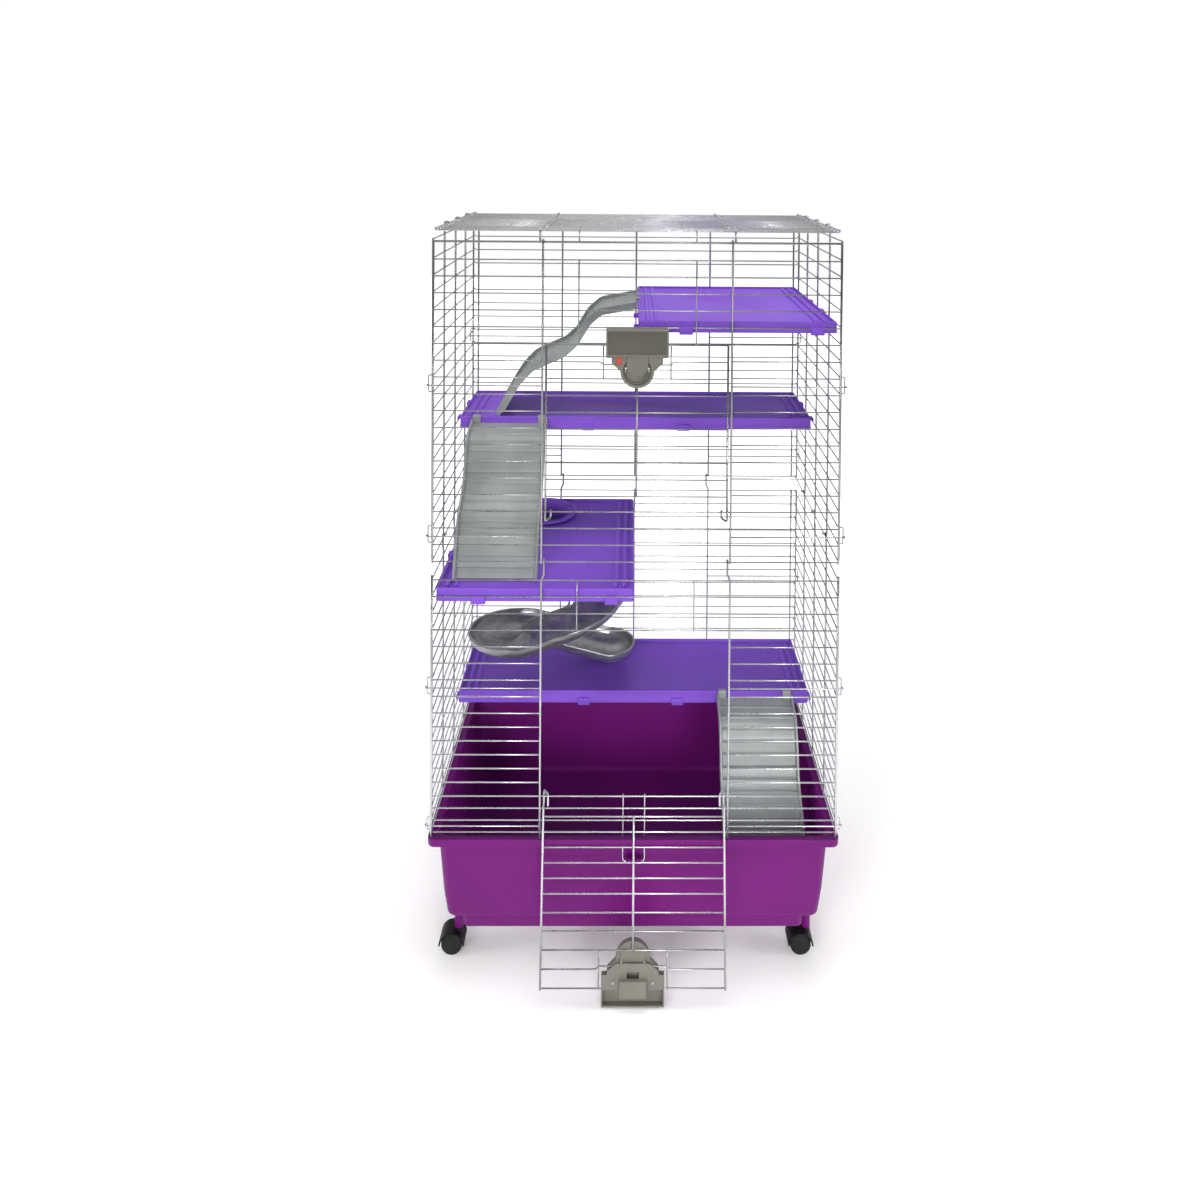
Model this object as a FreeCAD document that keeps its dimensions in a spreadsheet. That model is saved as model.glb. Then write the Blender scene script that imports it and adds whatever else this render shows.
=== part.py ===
import FreeCAD, Part
import Sketcher

import math
import os
from types import SimpleNamespace

from FreeCAD import Placement, Rotation, Vector

# Driving dimensions of the cage, in millimetres, and angles in degrees
SIZES = {
    # wire cage
    "thin_wire": 2.5,
    "frame_wire": 4.0,
    "cage_half_width": 374.0,
    "cage_half_depth": 221.0,
    "wire_pitch": 31.0,
    "low_pitch": 22.5,
    "first_wire_gap": 7.2,
    "storey_gap": 34.3,
    "flange_gap": 32.7,
    "flange_drop": 23.3,
    "side_rise": 3.0,
    "hook_clearance": 0.35,
    "seat_clearance": 0.3,
    "opening_half_width": 174.0,
    "brace_half_width": 108.0,
    "side_post_reach": 213.0,
    "side_post_gap": 110.5,
    "back_post_reach": 367.0,
    "back_post_middle": 172.0,
    "staple_out": 9.5,
    "kink_shift": 4.8,
    "kink_height": 10.0,
    # roof and its door
    "roof_margin": 9.5,
    "roof_opening_half": 180.0,
    "roof_door_half": 172.0,
    "roof_door_gap": 3.4,
    "roof_latch_half": 27.0,
    "roof_latch_dip": 7.0,
    # front doors
    "door_half_width": 167.0,
    "door_drop": 9.0,
    "door_pivot_reach": 3.16,
    "door_open_angle": 171.0,
    "door_hook_step": 9.0,
    "door_hook_jog": 6.0,
    "door_hook_rise": 10.0,
    "door_hook_end": 1.5,
    "long_hook_extra": 4.8,
    "latch_stay_half": 62.0,
    "latch_jog": 5.0,
    # door latch
    "plate_half_width": 57.0,
    "plate_rise": 32.0,
    "plate_fall": 18.0,
    "plate_depth": 14.0,
    "latch_wall": 2.5,
    "label_margin": 4.0,
    "label_recess": 1.0,
    "shoulder_half": 47.0,
    "shoulder_fall": 30.0,
    "arch_radius": 31.0,
    "arch_fall": 45.0,
    "arch_depth": 11.0,
    "thumb_half": 20.0,
    "thumb_gap": 0.6,
    "thumb_top": 6.0,
    "thumb_bottom": 58.0,
    "thumb_thickness": 4.0,
    "neck_half": 10.0,
    "neck_top": 8.0,
    "neck_height": 8.0,
    "backplate_fall": 42.0,
    "ear_fall": 24.0,
    "tongue_half": 24.0,
    "tongue_block": 16.0,
    "tongue_rise": 9.0,
    "tongue_thickness": 2.5,
    "latch_travel": 11.5,
    "latch_screw_reach": 36.0,
    "latch_screw_fall": 12.0,
    "latch_screw_head": 6.0,
    "latch_screw_shank": 3.0,
    "screw_head_height": 1.5,
    "indicator_reach": 33.5,
    "indicator_fall": 26.5,
    "indicator_width": 10.0,
    "indicator_height": 11.0,
    "indicator_depth": 1.5,
    # tub
    "tub_base_height": 106.0,
    "tub_height": 171.0,
    "tub_side_inset": 7.5,
    "tub_front_inset": 4.0,
    "tub_taper": 15.5,
    "tub_foot_inset": 6.0,
    "tub_foot_height": 8.0,
    "tub_wall": 3.0,
    "tub_corner": 16.0,
    "rim_corner": 14.0,
    "rim_wall": 1.2,
    "rim_overhang": 14.5,
    "rim_height": 17.0,
    "rim_upstand": 3.3,
    "skirt_height": 22.0,
    "skirt_side_inset": 23.0,
    "skirt_front_inset": 0.5,
    "catch_half": 14.0,
    "catch_reach": 9.0,
    "catch_height": 8.0,
    "bail_half": 20.0,
    "bail_slot": 2.0,
    "bail_foot_height": 227.8,
    # casters and their sockets
    "socket_side_inset": 30.5,
    "socket_front_inset": 68.5,
    "socket_diameter": 16.5,
    "socket_drop": 60.0,
    "socket_floor": 4.0,
    "stem_diameter": 8.0,
    "stem_clearance": 0.3,
    "wheel_diameter": 40.0,
    "wheel_width": 13.5,
    "wheel_trail": 12.0,
    "wheel_gap": 0.5,
    "wheel_clearance": 0.3,
    "hub_diameter": 17.0,
    "hub_recess": 2.0,
    "hood_radius": 24.5,
    "hood_wall": 2.8,
    "hood_width": 37.0,
    "hood_web": 4.0,
    "hood_boss": 16.0,
    "axle_diameter": 5.0,
    # shelves
    "shelf_wall": 2.5,
    "shelf_lip_rise": 5.0,
    "shelf_corner": 7.0,
    "small_lip": 21.0,
    "wide_lip": 25.0,
    "middle_lip": 24.0,
    "shelf_side_gap": 3.0,
    "centre_gap": 2.0,
    "wide_shelf_front": 11.0,
    "small_shelf_seat": 8.5,
    "upper_shelf_seat": 10.8,
    "middle_shelf_seat": 10.0,
    "lower_shelf_seat": 27.2,
    "ridge_width": 8.0,
    "ridge_height": 3.5,
    "ridge_first": 14.0,
    "ridge_second": 30.0,
    "ridge_end_gap": 16.0,
    "tab_width": 25.0,
    "small_tab_left": 75.0,
    "small_tab_right": 50.0,
    "upper_tab_left": 112.5,
    "upper_tab_right": 87.5,
    "lower_tab_left": 117.5,
    "lower_tab_right": 80.0,
    "middle_tab_left": 67.5,
    "middle_tab_right": 55.0,
    "front_clip": 25.0,
    "back_clip": 142.5,
    "tab_depth": 2.5,
    "tab_height": 9.0,
    "seat_tab_width": 20.0,
    "seat_tab_thickness": 3.0,
    "seat_tab_drop": 5.0,
    "edge_clip_width": 12.0,
    "edge_clip_reach": 9.0,
    # round way through the middle shelf
    "hole_side_inset": 172.0,
    "hole_back_inset": 79.0,
    "hole_diameter": 116.0,
    "collar_diameter": 142.0,
    "collar_rise": 5.0,
    "collar_wall": 3.0,
    "collar_drop": 36.0,
    # slide
    "slide_half_width": 60.0,
    "slide_depth": 36.0,
    "slide_wall": 2.5,
    "slide_rim": 3.0,
    "slide_turn_radius": 75.0,
    "slide_turn_gap": 78.0,
    "slide_turn_inset": 56.0,
    "slide_centre_inset": 73.0,
    "slide_start_drop": 5.7,
    "slide_right_fall": 131.0,
    "slide_front_fall": 27.0,
    "slide_left_fall": 53.0,
    "slide_back_fall": 27.0,
    "slide_exit_reach": 3.0,
    "pin_diameter": 6.0,
    "pin_length": 7.0,
    "pin_gap": 1.5,
    # ramps
    "ramp_width": 160.0,
    "ramp_floor": 2.5,
    "ramp_rail": 5.0,
    "ramp_rail_height": 9.0,
    "ramp_rail_hang": 7.0,
    "ridge_rise": 1.8,
    "ridge_base": 5.0,
    "ramp_seat_drop": 13.0,
    "ramp_gap": 1.0,
    "ramp_hook_width": 16.0,
    "ramp_hook_inset": 4.0,
    "ramp_hook_wall": 3.0,
    "ramp_hook_leg": 2.7,
    "upper_ramp_run": 290.0,
    "upper_ramp_y": 100.5,
    "middle_ramp_run": 190.0,
    "middle_ramp_inset": 109.0,
    "lower_ramp_run": 175.0,
    "lower_ramp_inset": 119.0,
    "ramp_foot_gap": 0.3,
    "cut_overrun": 1.0,
}

# Counts of wires and of steps between them
LOW_STEPS = 3
FINE_STEPS = 6
LOWER_STEPS = 8
UPPER_STEPS = 18
UPPER_HINGE = 3
UPPER_OPENING_TOP = 13
LOWER_HINGE = LOW_STEPS
LOWER_OPENING_TOP = LOW_STEPS + FINE_STEPS + 5
ROOF_STEPS = 17
ROOF_FRONT_STEP = 3
ROOF_HINGE_STEP = 11
UPPER_HOOKED = (1, 10)
LOWER_HOOKED = (0, 10)
FINE_PITCH_SHARE = 5 / 6
HEX_CORNER_SHARE = 1 / math.sqrt(3)
SQUARE_CORNER_SHARE = 1 / math.sqrt(2)
RAMP_RIDGES = 15
TURN_SECTIONS = 7
TROUGH_STEPS = 8
CORNER_STEPS = 4
WHEEL_SIDES = 20
HOOD_SIDES = 24
RING_SIDES = 32
SMALL_SIDES = 8
SLIDE_HEAD_SHARE = 0.3
BACK_SEAT_SHARES = (0.35, 1.35)
WEB_FOOT_SHARE = 1.5

# The wave of a ramp: share of its run against share of its drop
RAMP_WAVE_SHARES = (
    (0.0, 0.0), (0.05, 0.01), (0.27, 0.06), (0.36, 0.16), (0.45, 0.35), (0.54, 0.45), (0.65, 0.51),
    (0.77, 0.58), (0.86, 0.70), (0.92, 0.82), (1.0, 1.0),
)

doc = FreeCAD.newDocument("MultiLevelCage")
sheet = doc.addObject("Spreadsheet::Sheet", "sizes")


class Length:
    """A size: the sheet expression that gives it, and its value."""

    def __init__(self, text, value):
        self.text = text
        self.value = value

    def join(self, mark, other, value):
        return Length("(%s %s %s)" % (self.text, mark, other), value)

    def __add__(self, other):
        other = as_length(other)
        return self.join("+", other.text, self.value + other.value)

    def __sub__(self, other):
        other = as_length(other)
        return self.join("-", other.text, self.value - other.value)

    def __mul__(self, factor):
        return self.join("*", repr(float(factor)), self.value * factor)

    def __truediv__(self, factor):
        return self.join("/", repr(float(factor)), self.value / factor)

    def __radd__(self, other):
        return as_length(other) + self

    def __rsub__(self, other):
        return as_length(other) - self

    def __rmul__(self, factor):
        return self * factor

    def __neg__(self):
        return self * -1

    def __float__(self):
        return float(self.value)


def as_length(value):
    """Zero and plain factors stand for themselves in a sum."""
    return value if isinstance(value, Length) else Length(repr(float(value)), float(value))


for row, (alias, number) in enumerate(SIZES.items(), start=1):
    sheet.set("A%d" % row, alias)
    sheet.set("B%d" % row, str(number))
    sheet.setAlias("B%d" % row, alias)
doc.recompute()
dim = SimpleNamespace(**{alias: Length("sizes." + alias, float(sheet.get(alias))) for alias in SIZES})

ALONG_X = Vector(1, 0, 0)
ALONG_Y = Vector(0, 1, 0)
ALONG_Z = Vector(0, 0, 1)
UNTURNED = Rotation()


def frame_turn(along, flat):
    """The turn that lays local Z along one axis and local Y along another."""
    return Rotation(flat.cross(along), flat, along, "ZXY")


def vector(x, y, z):
    return Vector(float(x), float(y), float(z))


def bind(thing, **sizes):
    """Set properties, tying those that are sizes to the sheet."""
    for name, value in sizes.items():
        if isinstance(value, Length):
            thing.setExpression(name, value.text)
        else:
            setattr(thing, name, value)
    return thing


def place(thing, x=0, y=0, z=0, turn=UNTURNED):
    """Put a piece at a point whose coordinates are tied to the sheet."""
    thing.Placement = Placement(vector(x, y, z), turn)
    for axis, value in zip("xyz", (x, y, z)):
        if isinstance(value, Length):
            thing.setExpression("Placement.Base." + axis, value.text)
    return thing


def box(x, y, z, length, width, height):
    """A block from its low corner and its three sizes."""
    block = doc.addObject("Part::Box", "block")
    return place(bind(block, Length=length, Width=width, Height=height), x, y, z)


def span_box(x, y, z):
    """A block between two places on each axis."""
    return box(x[0], y[0], z[0], x[1] - x[0], y[1] - y[0], z[1] - z[0])


def cylinder(diameter, length, x, y, z, along=ALONG_Z):
    turn = Rotation(ALONG_Z, along)
    return place(bind(doc.addObject("Part::Cylinder", "round"), Radius=diameter / 2, Height=length), x, y, z, turn)


def faceted(diameter, length, x, y, z, along=ALONG_Z, sides=12, around=False):
    """A round bar with few sides. Its corners lie on the circle, or its sides touch it if it goes around."""
    reach = diameter / 2 / math.cos(math.pi / sides) if around else diameter / 2
    bar = bind(doc.addObject("Part::Prism", "round"), Polygon=sides, Circumradius=reach, Height=length)
    return place(bar, x, y, z, Rotation(ALONG_Z, along))


def wire_section(diameter, along, flat):
    """Sides, corner reach and turn of a wire: heavy wires have six sides and thin ones four.

    A flat side faces the wires that cross it.
    """
    if diameter is dim.thin_wire:
        return 4, diameter * SQUARE_CORNER_SHARE, frame_turn(along, flat) * Rotation(ALONG_Z, 45)
    return 6, diameter * HEX_CORNER_SHARE, frame_turn(along, flat)


def rod(diameter, length, x, y, z, along, flat):
    """A straight wire."""
    sides, reach, turn = wire_section(diameter, along, flat)
    bar = bind(doc.addObject("Part::Prism", "wire"), Polygon=sides, Circumradius=reach, Height=length)
    return place(bar, x, y, z, turn)


def bent_rod(diameter, points, flat):
    """A wire that follows straight runs between the points."""
    path = doc.addObject("Part::Polygon", "path")
    path.Nodes = points
    sides, reach, turn = wire_section(diameter, (points[1] - points[0]).normalize(), flat)
    section = bind(doc.addObject("Part::RegularPolygon", "section"), Polygon=sides, Circumradius=reach)
    section.Placement = Placement(points[0], turn)
    bend = doc.addObject("Part::Sweep", "bend")
    edges = ["Edge%d" % (number + 1) for number in range(len(points) - 1)]
    return bind(bend, Sections=[section], Spine=(path, edges), Solid=True, Frenet=False, Transition="Right corner")


def round_bend(centre, radius, start, end, first, second, corners=3):
    """Corners of a bend that touches a circle: its plane is given by two directions, its ends by angles."""
    step = (end - start) / corners
    reach = float(radius) / math.cos(step / 2)
    turns = [start + step * (number + 0.5) for number in range(corners)]
    points = [centre + first * (reach * math.cos(turn)) + second * (reach * math.sin(turn)) for turn in turns]
    return points + [centre + first * (float(radius) * math.cos(end)) + second * (float(radius) * math.sin(end))]


def fuse(pieces):
    return bind(doc.addObject("Part::MultiFuse", "joined"), Shapes=pieces)


def cut(base, tools):
    """Take one or more tools away from a base."""
    tool = tools[0] if len(tools) == 1 else fuse(tools)
    return bind(doc.addObject("Part::Cut", "cut"), Base=base, Tool=tool)


def together(pieces):
    return bind(doc.addObject("Part::Compound", "group"), Links=pieces)


def prism(points, along, length):
    """A flat outline carried straight along a direction."""
    outline = bind(doc.addObject("Part::Polygon", "outline"), Nodes=points, Close=True)
    body = doc.addObject("Part::Extrusion", "prism")
    return bind(body, Base=outline, DirMode="Custom", Dir=along, LengthFwd=length, Solid=True)


def upright_rounded(block, radius):
    """Round the edges of a block that stand along Z."""
    doc.recompute()
    chosen = []
    for number, edge in enumerate(block.Shape.Edges, start=1):
        if abs(edge.tangentAt(edge.FirstParameter).z) > 0.99:
            chosen.append((number, float(radius), float(radius)))
    return bind(doc.addObject("Part::Fillet", "rounded"), Base=block, Edges=chosen)


def rounded_plan(half_x, half_y, corner, height):
    """A level sketch of a rectangle with round corners, centred on the cage."""
    sketch = doc.addObject("Sketcher::SketchObject", "plan")
    across, deep, bend = float(half_x), float(half_y), float(corner)
    corners = [(across - bend, bend - deep), (across - bend, deep - bend),
               (bend - across, deep - bend), (bend - across, bend - deep)]
    for number, (x, y) in enumerate(corners):
        turn = (number - 1) * math.pi / 2
        circle = Part.Circle(Vector(x, y, 0), ALONG_Z, bend)
        sketch.addGeometry(Part.ArcOfCircle(circle, turn, turn + math.pi / 2))
    for number in range(len(corners)):
        start = sketch.Geometry[number].EndPoint
        end = sketch.Geometry[(number + 1) % len(corners)].StartPoint
        sketch.addGeometry(Part.LineSegment(start, end))
    for number in range(len(corners)):
        side = number + len(corners)
        sketch.addConstraint([
            Sketcher.Constraint("Tangent", number, 2, side, 1),
            Sketcher.Constraint("Tangent", side, 2, (number + 1) % len(corners), 1),
        ])
    for number in (1, 2, 3):
        sketch.addConstraint(Sketcher.Constraint("Equal", 0, number))
    sketch.addConstraint(Sketcher.Constraint("Vertical", 4))
    sketch.addConstraint(Sketcher.Constraint("Horizontal", 5))
    sketch.addConstraint(Sketcher.Constraint("Symmetric", 0, 3, 2, 3, -1, 1))
    sizes = (("DistanceX", (6, 1, 4, 1), half_x * 2), ("DistanceY", (7, 1, 5, 1), half_y * 2), ("Radius", (0,), corner))
    for kind, places, length in sizes:
        number = sketch.addConstraint(Sketcher.Constraint(kind, *places, float(length)))
        sketch.setExpression("Constraints[%d]" % number, length.text)
    return place(sketch, 0, 0, height)


# Heights of the cage above the floor
rim_top = dim.tub_base_height + dim.tub_height
ledge_top = rim_top - dim.rim_upstand
fine_pitch = dim.wire_pitch * FINE_PITCH_SHARE
low_sill = rim_top + dim.first_wire_gap
low_heights = [low_sill + dim.low_pitch * step for step in range(LOW_STEPS + 1)]
low_heights += [low_heights[LOW_STEPS] + fine_pitch * step for step in range(1, FINE_STEPS + 1)]
low_heights += [low_heights[-1] + dim.wire_pitch * step for step in range(1, LOWER_STEPS + 1)]
high_sill = low_heights[-1] + dim.storey_gap
high_heights = [high_sill + dim.wire_pitch * step for step in range(UPPER_STEPS + 1)]
flange_z = high_heights[-1] + dim.flange_gap
roof_z = flange_z + dim.flange_drop

# Places of the wire layers, outwards from the cage's middle
post_gap = (dim.thin_wire + dim.frame_wire) / 2
front_post_y = dim.cage_half_depth + post_gap
side_post_x = dim.cage_half_width + post_gap
over_frame = dim.frame_wire + dim.hook_clearance
over_thin = post_gap + dim.hook_clearance
flange_y = front_post_y - over_frame
roof_side_x = side_post_x - over_frame
roof_cross_z = roof_z - post_gap
side_wire_reach = dim.cage_half_depth - dim.thin_wire / 2 - dim.hook_clearance
panel_foot = ledge_top + dim.seat_clearance

# Places that follow the width and the depth of the cage
staple_reach = dim.cage_half_width + dim.staple_out
staple_bend = dim.thin_wire + dim.hook_clearance * 2
tub_half_width = dim.cage_half_width - dim.tub_side_inset
tub_half_depth = dim.cage_half_depth - dim.tub_front_inset
socket_x = tub_half_width - dim.socket_side_inset
socket_y = tub_half_depth - dim.socket_front_inset
hole_x = dim.cage_half_width - dim.hole_side_inset
hole_y = dim.cage_half_depth - dim.hole_back_inset
slide_turn_x = hole_x - dim.slide_turn_inset
slide_centre_y = hole_y - dim.slide_centre_inset
middle_ramp_x = dim.cage_half_width - dim.middle_ramp_inset
lower_ramp_x = dim.cage_half_width - dim.lower_ramp_inset


def level_wire(x_from, x_to, y, z):
    return rod(dim.thin_wire, x_to - x_from, x_from, y, z, ALONG_X, ALONG_Y)


def hooked_post(x, y, foot, wire_z, over, outward, kink=0, start=None):
    """An upright wire whose top bends over a level wire towards the cage's middle.

    Outward is the unit vector from the hooked wire to the upright. The upright may step aside
    just below its hook, to clear the upright of the panel that it hooks on.
    """
    base = vector(x, y, foot)
    aside = ALONG_Z.cross(outward) * float(kink)
    points = [base]
    if kink:
        points += [vector(x, y, start), vector(x, y, start + dim.kink_height) + aside]
    centre = vector(x, y, wire_z) + aside - outward * float(over)
    points += round_bend(centre, over, 0, math.pi, outward, ALONG_Z)
    return bent_rod(dim.frame_wire, points, outward)


def corner_hook(side, y_side, z, x_from):
    """A level wire that runs past the corner and curls round the staple of the side panel."""
    y = float(dim.cage_half_depth) * y_side
    centre = Vector(side * float(staple_reach), y - y_side * float(staple_bend), float(z))
    outward = Vector(0, y_side, 0)
    points = [Vector(side * float(x_from), y, float(z))]
    points += round_bend(centre, staple_bend, 0, math.pi, outward, Vector(side, 0, 0))
    return bent_rod(dim.thin_wire, points, ALONG_Y)


def face_panel(y_side, heights, opening, rounds, hooked, posts, inner_posts):
    """The level wires of a front or back panel and its upright wires, without the hooked ones.

    The rows in rounds are round wires, because doors, clips or other panels hook over them.
    """
    y = dim.cage_half_depth * y_side
    half = dim.cage_half_width
    wires = []
    for number, z in enumerate(heights):
        if number in rounds:
            wires.append(cylinder(dim.thin_wire, half * 2, -half, y, z, ALONG_X))
        elif opening[0] < number < opening[1]:
            wires.append(level_wire(-half, -dim.opening_half_width, y, z))
            wires.append(level_wire(dim.opening_half_width, half, y, z))
        else:
            wires.append(level_wire(-half, half, y, z))
    for number in hooked:
        middle = (heights[number] + heights[number + 1]) / 2
        for side in (-1, 1):
            wires.append(corner_hook(side, y_side, middle, inner_posts))
    for x, foot, top in posts:
        wires.append(rod(dim.frame_wire, top - foot, x, front_post_y * y_side, foot, ALONG_Z, ALONG_Y))
    return wires


def front_upper_panel():
    half = dim.cage_half_width
    foot = high_sill - dim.frame_wire / 2
    top = flange_z + dim.frame_wire / 2
    brace_foot = high_heights[UPPER_OPENING_TOP]
    posts = [(side * half, foot, top) for side in (-1, 1)]
    wires = face_panel(-1, high_heights, (UPPER_HINGE, UPPER_OPENING_TOP), (0, UPPER_HINGE), UPPER_HOOKED, posts,
                       dim.opening_half_width)
    for side in (-1, 1):
        wires.append(rod(dim.thin_wire, high_heights[-1] - brace_foot, dim.brace_half_width * side,
                         -dim.cage_half_depth - dim.thin_wire, brace_foot, ALONG_Z, ALONG_Y))
        wires.append(hooked_post(dim.opening_half_width * side, -front_post_y, foot, flange_z, over_frame, -ALONG_Y))
    return together(wires)


def front_lower_panel():
    half = dim.cage_half_width
    top = low_heights[-1] + dim.frame_wire / 2
    brace_foot = low_heights[LOWER_OPENING_TOP]
    posts = [(side * half, panel_foot, top) for side in (-1, 1)]
    wires = face_panel(-1, low_heights, (LOWER_HINGE, LOWER_OPENING_TOP), (LOWER_HINGE,), LOWER_HOOKED, posts,
                       dim.opening_half_width)
    for side in (-1, 1):
        wires.append(rod(dim.thin_wire, low_heights[-1] - brace_foot, dim.brace_half_width * side,
                         -dim.cage_half_depth - dim.thin_wire, brace_foot, ALONG_Z, ALONG_Y))
        wires.append(hooked_post(dim.opening_half_width * side, -front_post_y, panel_foot, high_sill, over_thin,
                                 -ALONG_Y, -dim.kink_shift * side, top))
    wires.append(rod(dim.thin_wire, low_heights[LOWER_HINGE] - panel_foot, 0, dim.thin_wire - dim.cage_half_depth,
                     panel_foot, ALONG_Z, ALONG_Y))
    return together(wires)


def back_panel(heights, rounds, hooked, foot, top, wire_z, over, kink):
    """A back panel: plain level wires, uprights near the corners and in the middle, and two hooked ones."""
    posts = [(dim.back_post_reach * side, foot, top) for side in (-1, 0, 1)]
    wires = face_panel(1, heights, (0, 0), rounds, hooked, posts, dim.back_post_middle)
    for side in (-1, 1):
        start = heights[-1] + dim.frame_wire / 2
        wires.append(hooked_post(dim.back_post_middle * side, front_post_y, foot, wire_z, over, ALONG_Y,
                                 kink * side, start))
    return together(wires)


def side_panel(side, heights, hooked, foot, top, wire_z, over, kink, extra=None):
    """A side panel: level wires along the depth, the lowest one round, five uprights and the staples."""
    x = dim.cage_half_width * side
    rows = [z + dim.side_rise for z in heights]
    if extra is not None:
        rows.append(extra + dim.side_rise)
    sill = cylinder(dim.thin_wire, side_wire_reach * 2, x, -side_wire_reach, rows[0], ALONG_Y)
    wires = [sill] + [rod(dim.thin_wire, side_wire_reach * 2, x, -side_wire_reach, z, ALONG_Y, ALONG_X)
                      for z in rows[1:]]
    for end in (-1, 1):
        wires.append(rod(dim.frame_wire, top - foot, side_post_x * side, dim.side_post_reach * end, foot,
                         ALONG_Z, ALONG_X))
    for place_number in (-1, 0, 1):
        wires.append(hooked_post(side_post_x * side, dim.side_post_gap * place_number, foot, wire_z, over,
                                 ALONG_X * side, kink, rows[-1] + dim.frame_wire / 2))
    staple_y = dim.cage_half_depth - staple_bend
    leg_x = x + dim.thin_wire / 2 * side
    for number in hooked:
        for end in (-1, 1):
            places = ((leg_x, number), (staple_reach * side, number),
                      (staple_reach * side, number + 1), (leg_x, number + 1))
            points = [vector(leg, staple_y * end, rows[row]) for leg, row in places]
            wires.append(bent_rod(dim.thin_wire, points, ALONG_Y))
    return together(wires)


def roof_panel():
    """The roof: wires across it, the heavy wires that bend down into the front and back flanges."""
    wires = []
    for number in range(ROOF_STEPS + 1):
        y = roof_row(number)
        if number == ROOF_HINGE_STEP:
            wires.append(cylinder(dim.thin_wire, roof_side_x * 2, -roof_side_x, y, roof_cross_z, ALONG_X))
        elif ROOF_FRONT_STEP < number < ROOF_HINGE_STEP:
            for start, end in ((-roof_side_x, -dim.roof_opening_half), (dim.roof_opening_half, roof_side_x)):
                wires.append(rod(dim.thin_wire, end - start, start, y, roof_cross_z, ALONG_X, ALONG_Z))
        else:
            wires.append(rod(dim.thin_wire, roof_side_x * 2, -roof_side_x, y, roof_cross_z, ALONG_X, ALONG_Z))
    leg_y = flange_y - dim.frame_wire
    flange_foot = flange_z - dim.frame_wire / 2
    for side in (-1, 1):
        wires.append(rod(dim.frame_wire, leg_y * 2, roof_side_x * side, -leg_y, roof_z, ALONG_Y, ALONG_Z))
        x = dim.roof_opening_half * side
        points = [vector(x, -leg_y, flange_foot), vector(x, -leg_y, roof_z), vector(x, leg_y, roof_z),
                  vector(x, leg_y, flange_foot)]
        wires.append(bent_rod(dim.frame_wire, points, ALONG_Y))
        brace_y = flange_y - post_gap
        brace_z = roof_cross_z + dim.thin_wire
        x = dim.brace_half_width * side
        brace_end = roof_row(ROOF_FRONT_STEP) - dim.roof_door_gap - dim.thin_wire / 2 - dim.hook_clearance
        points = [vector(x, brace_end, brace_z),
                  vector(x, -brace_y, brace_z), vector(x, -brace_y, flange_foot)]
        wires.append(bent_rod(dim.thin_wire, points, ALONG_Z))
        half = dim.cage_half_width
        wires.append(rod(dim.frame_wire, half * 2, -half, flange_y * side, flange_z, ALONG_X, ALONG_Y))
    return together(wires)


def roof_row(number):
    """The place along the depth of one of the roof's cross wires."""
    reach = dim.cage_half_depth - dim.roof_margin
    return reach * (2 * number / ROOF_STEPS - 1)


def roof_door():
    """The roof door lies in its opening and hooks round a cross wire at its back edge."""
    hinge_y = roof_row(ROOF_HINGE_STEP)
    front_y = roof_row(ROOF_FRONT_STEP) - dim.roof_door_gap
    frame_z = roof_cross_z + over_thin
    cross_z = frame_z - post_gap
    wires = []
    for side in (-1, 1):
        x = dim.roof_door_half * side
        hinge = vector(x, hinge_y, roof_cross_z)
        points = [vector(x, front_y - dim.thin_wire, frame_z)]
        points += round_bend(hinge, over_thin, math.pi / 2, -math.pi / 2, ALONG_Y, ALONG_Z)
        wires.append(bent_rod(dim.frame_wire, points, ALONG_Z))
    half = dim.roof_door_half
    for number in range(ROOF_FRONT_STEP + 1, ROOF_HINGE_STEP):
        wires.append(rod(dim.thin_wire, half * 2, -half, roof_row(number), cross_z, ALONG_X, ALONG_Z))
    dip = dim.roof_latch_half
    points = [vector(-half, front_y, cross_z), vector(-dip - dim.roof_latch_dip, front_y, cross_z),
              vector(-dip, front_y, cross_z - dim.roof_latch_dip), vector(dip, front_y, cross_z - dim.roof_latch_dip),
              vector(dip + dim.roof_latch_dip, front_y, cross_z), vector(half, front_y, cross_z)]
    wires.append(bent_rod(dim.thin_wire, points, ALONG_Z))
    return together(wires)


# A front door is drawn shut, with heights from the panel's wires, and swung about its pivot
door_frame_y = -dim.cage_half_depth - over_thin
door_cross_y = door_frame_y - post_gap
open_angle = float(dim.door_open_angle)


def door_pivot(heights, hinge):
    """The line that a door swings about, a little in front of the hinge wire and below it."""
    return 0, -dim.cage_half_depth - dim.door_pivot_reach, heights[hinge] - dim.door_drop / 2


def swing_open(piece, pivot):
    """Swing a piece from its shut place to where it hangs with the door open."""
    turn = Rotation(ALONG_X, open_angle)
    centre = vector(*pivot)
    piece.Placement = Placement(Vector(), turn, centre).multiply(piece.Placement)
    return piece


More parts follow.
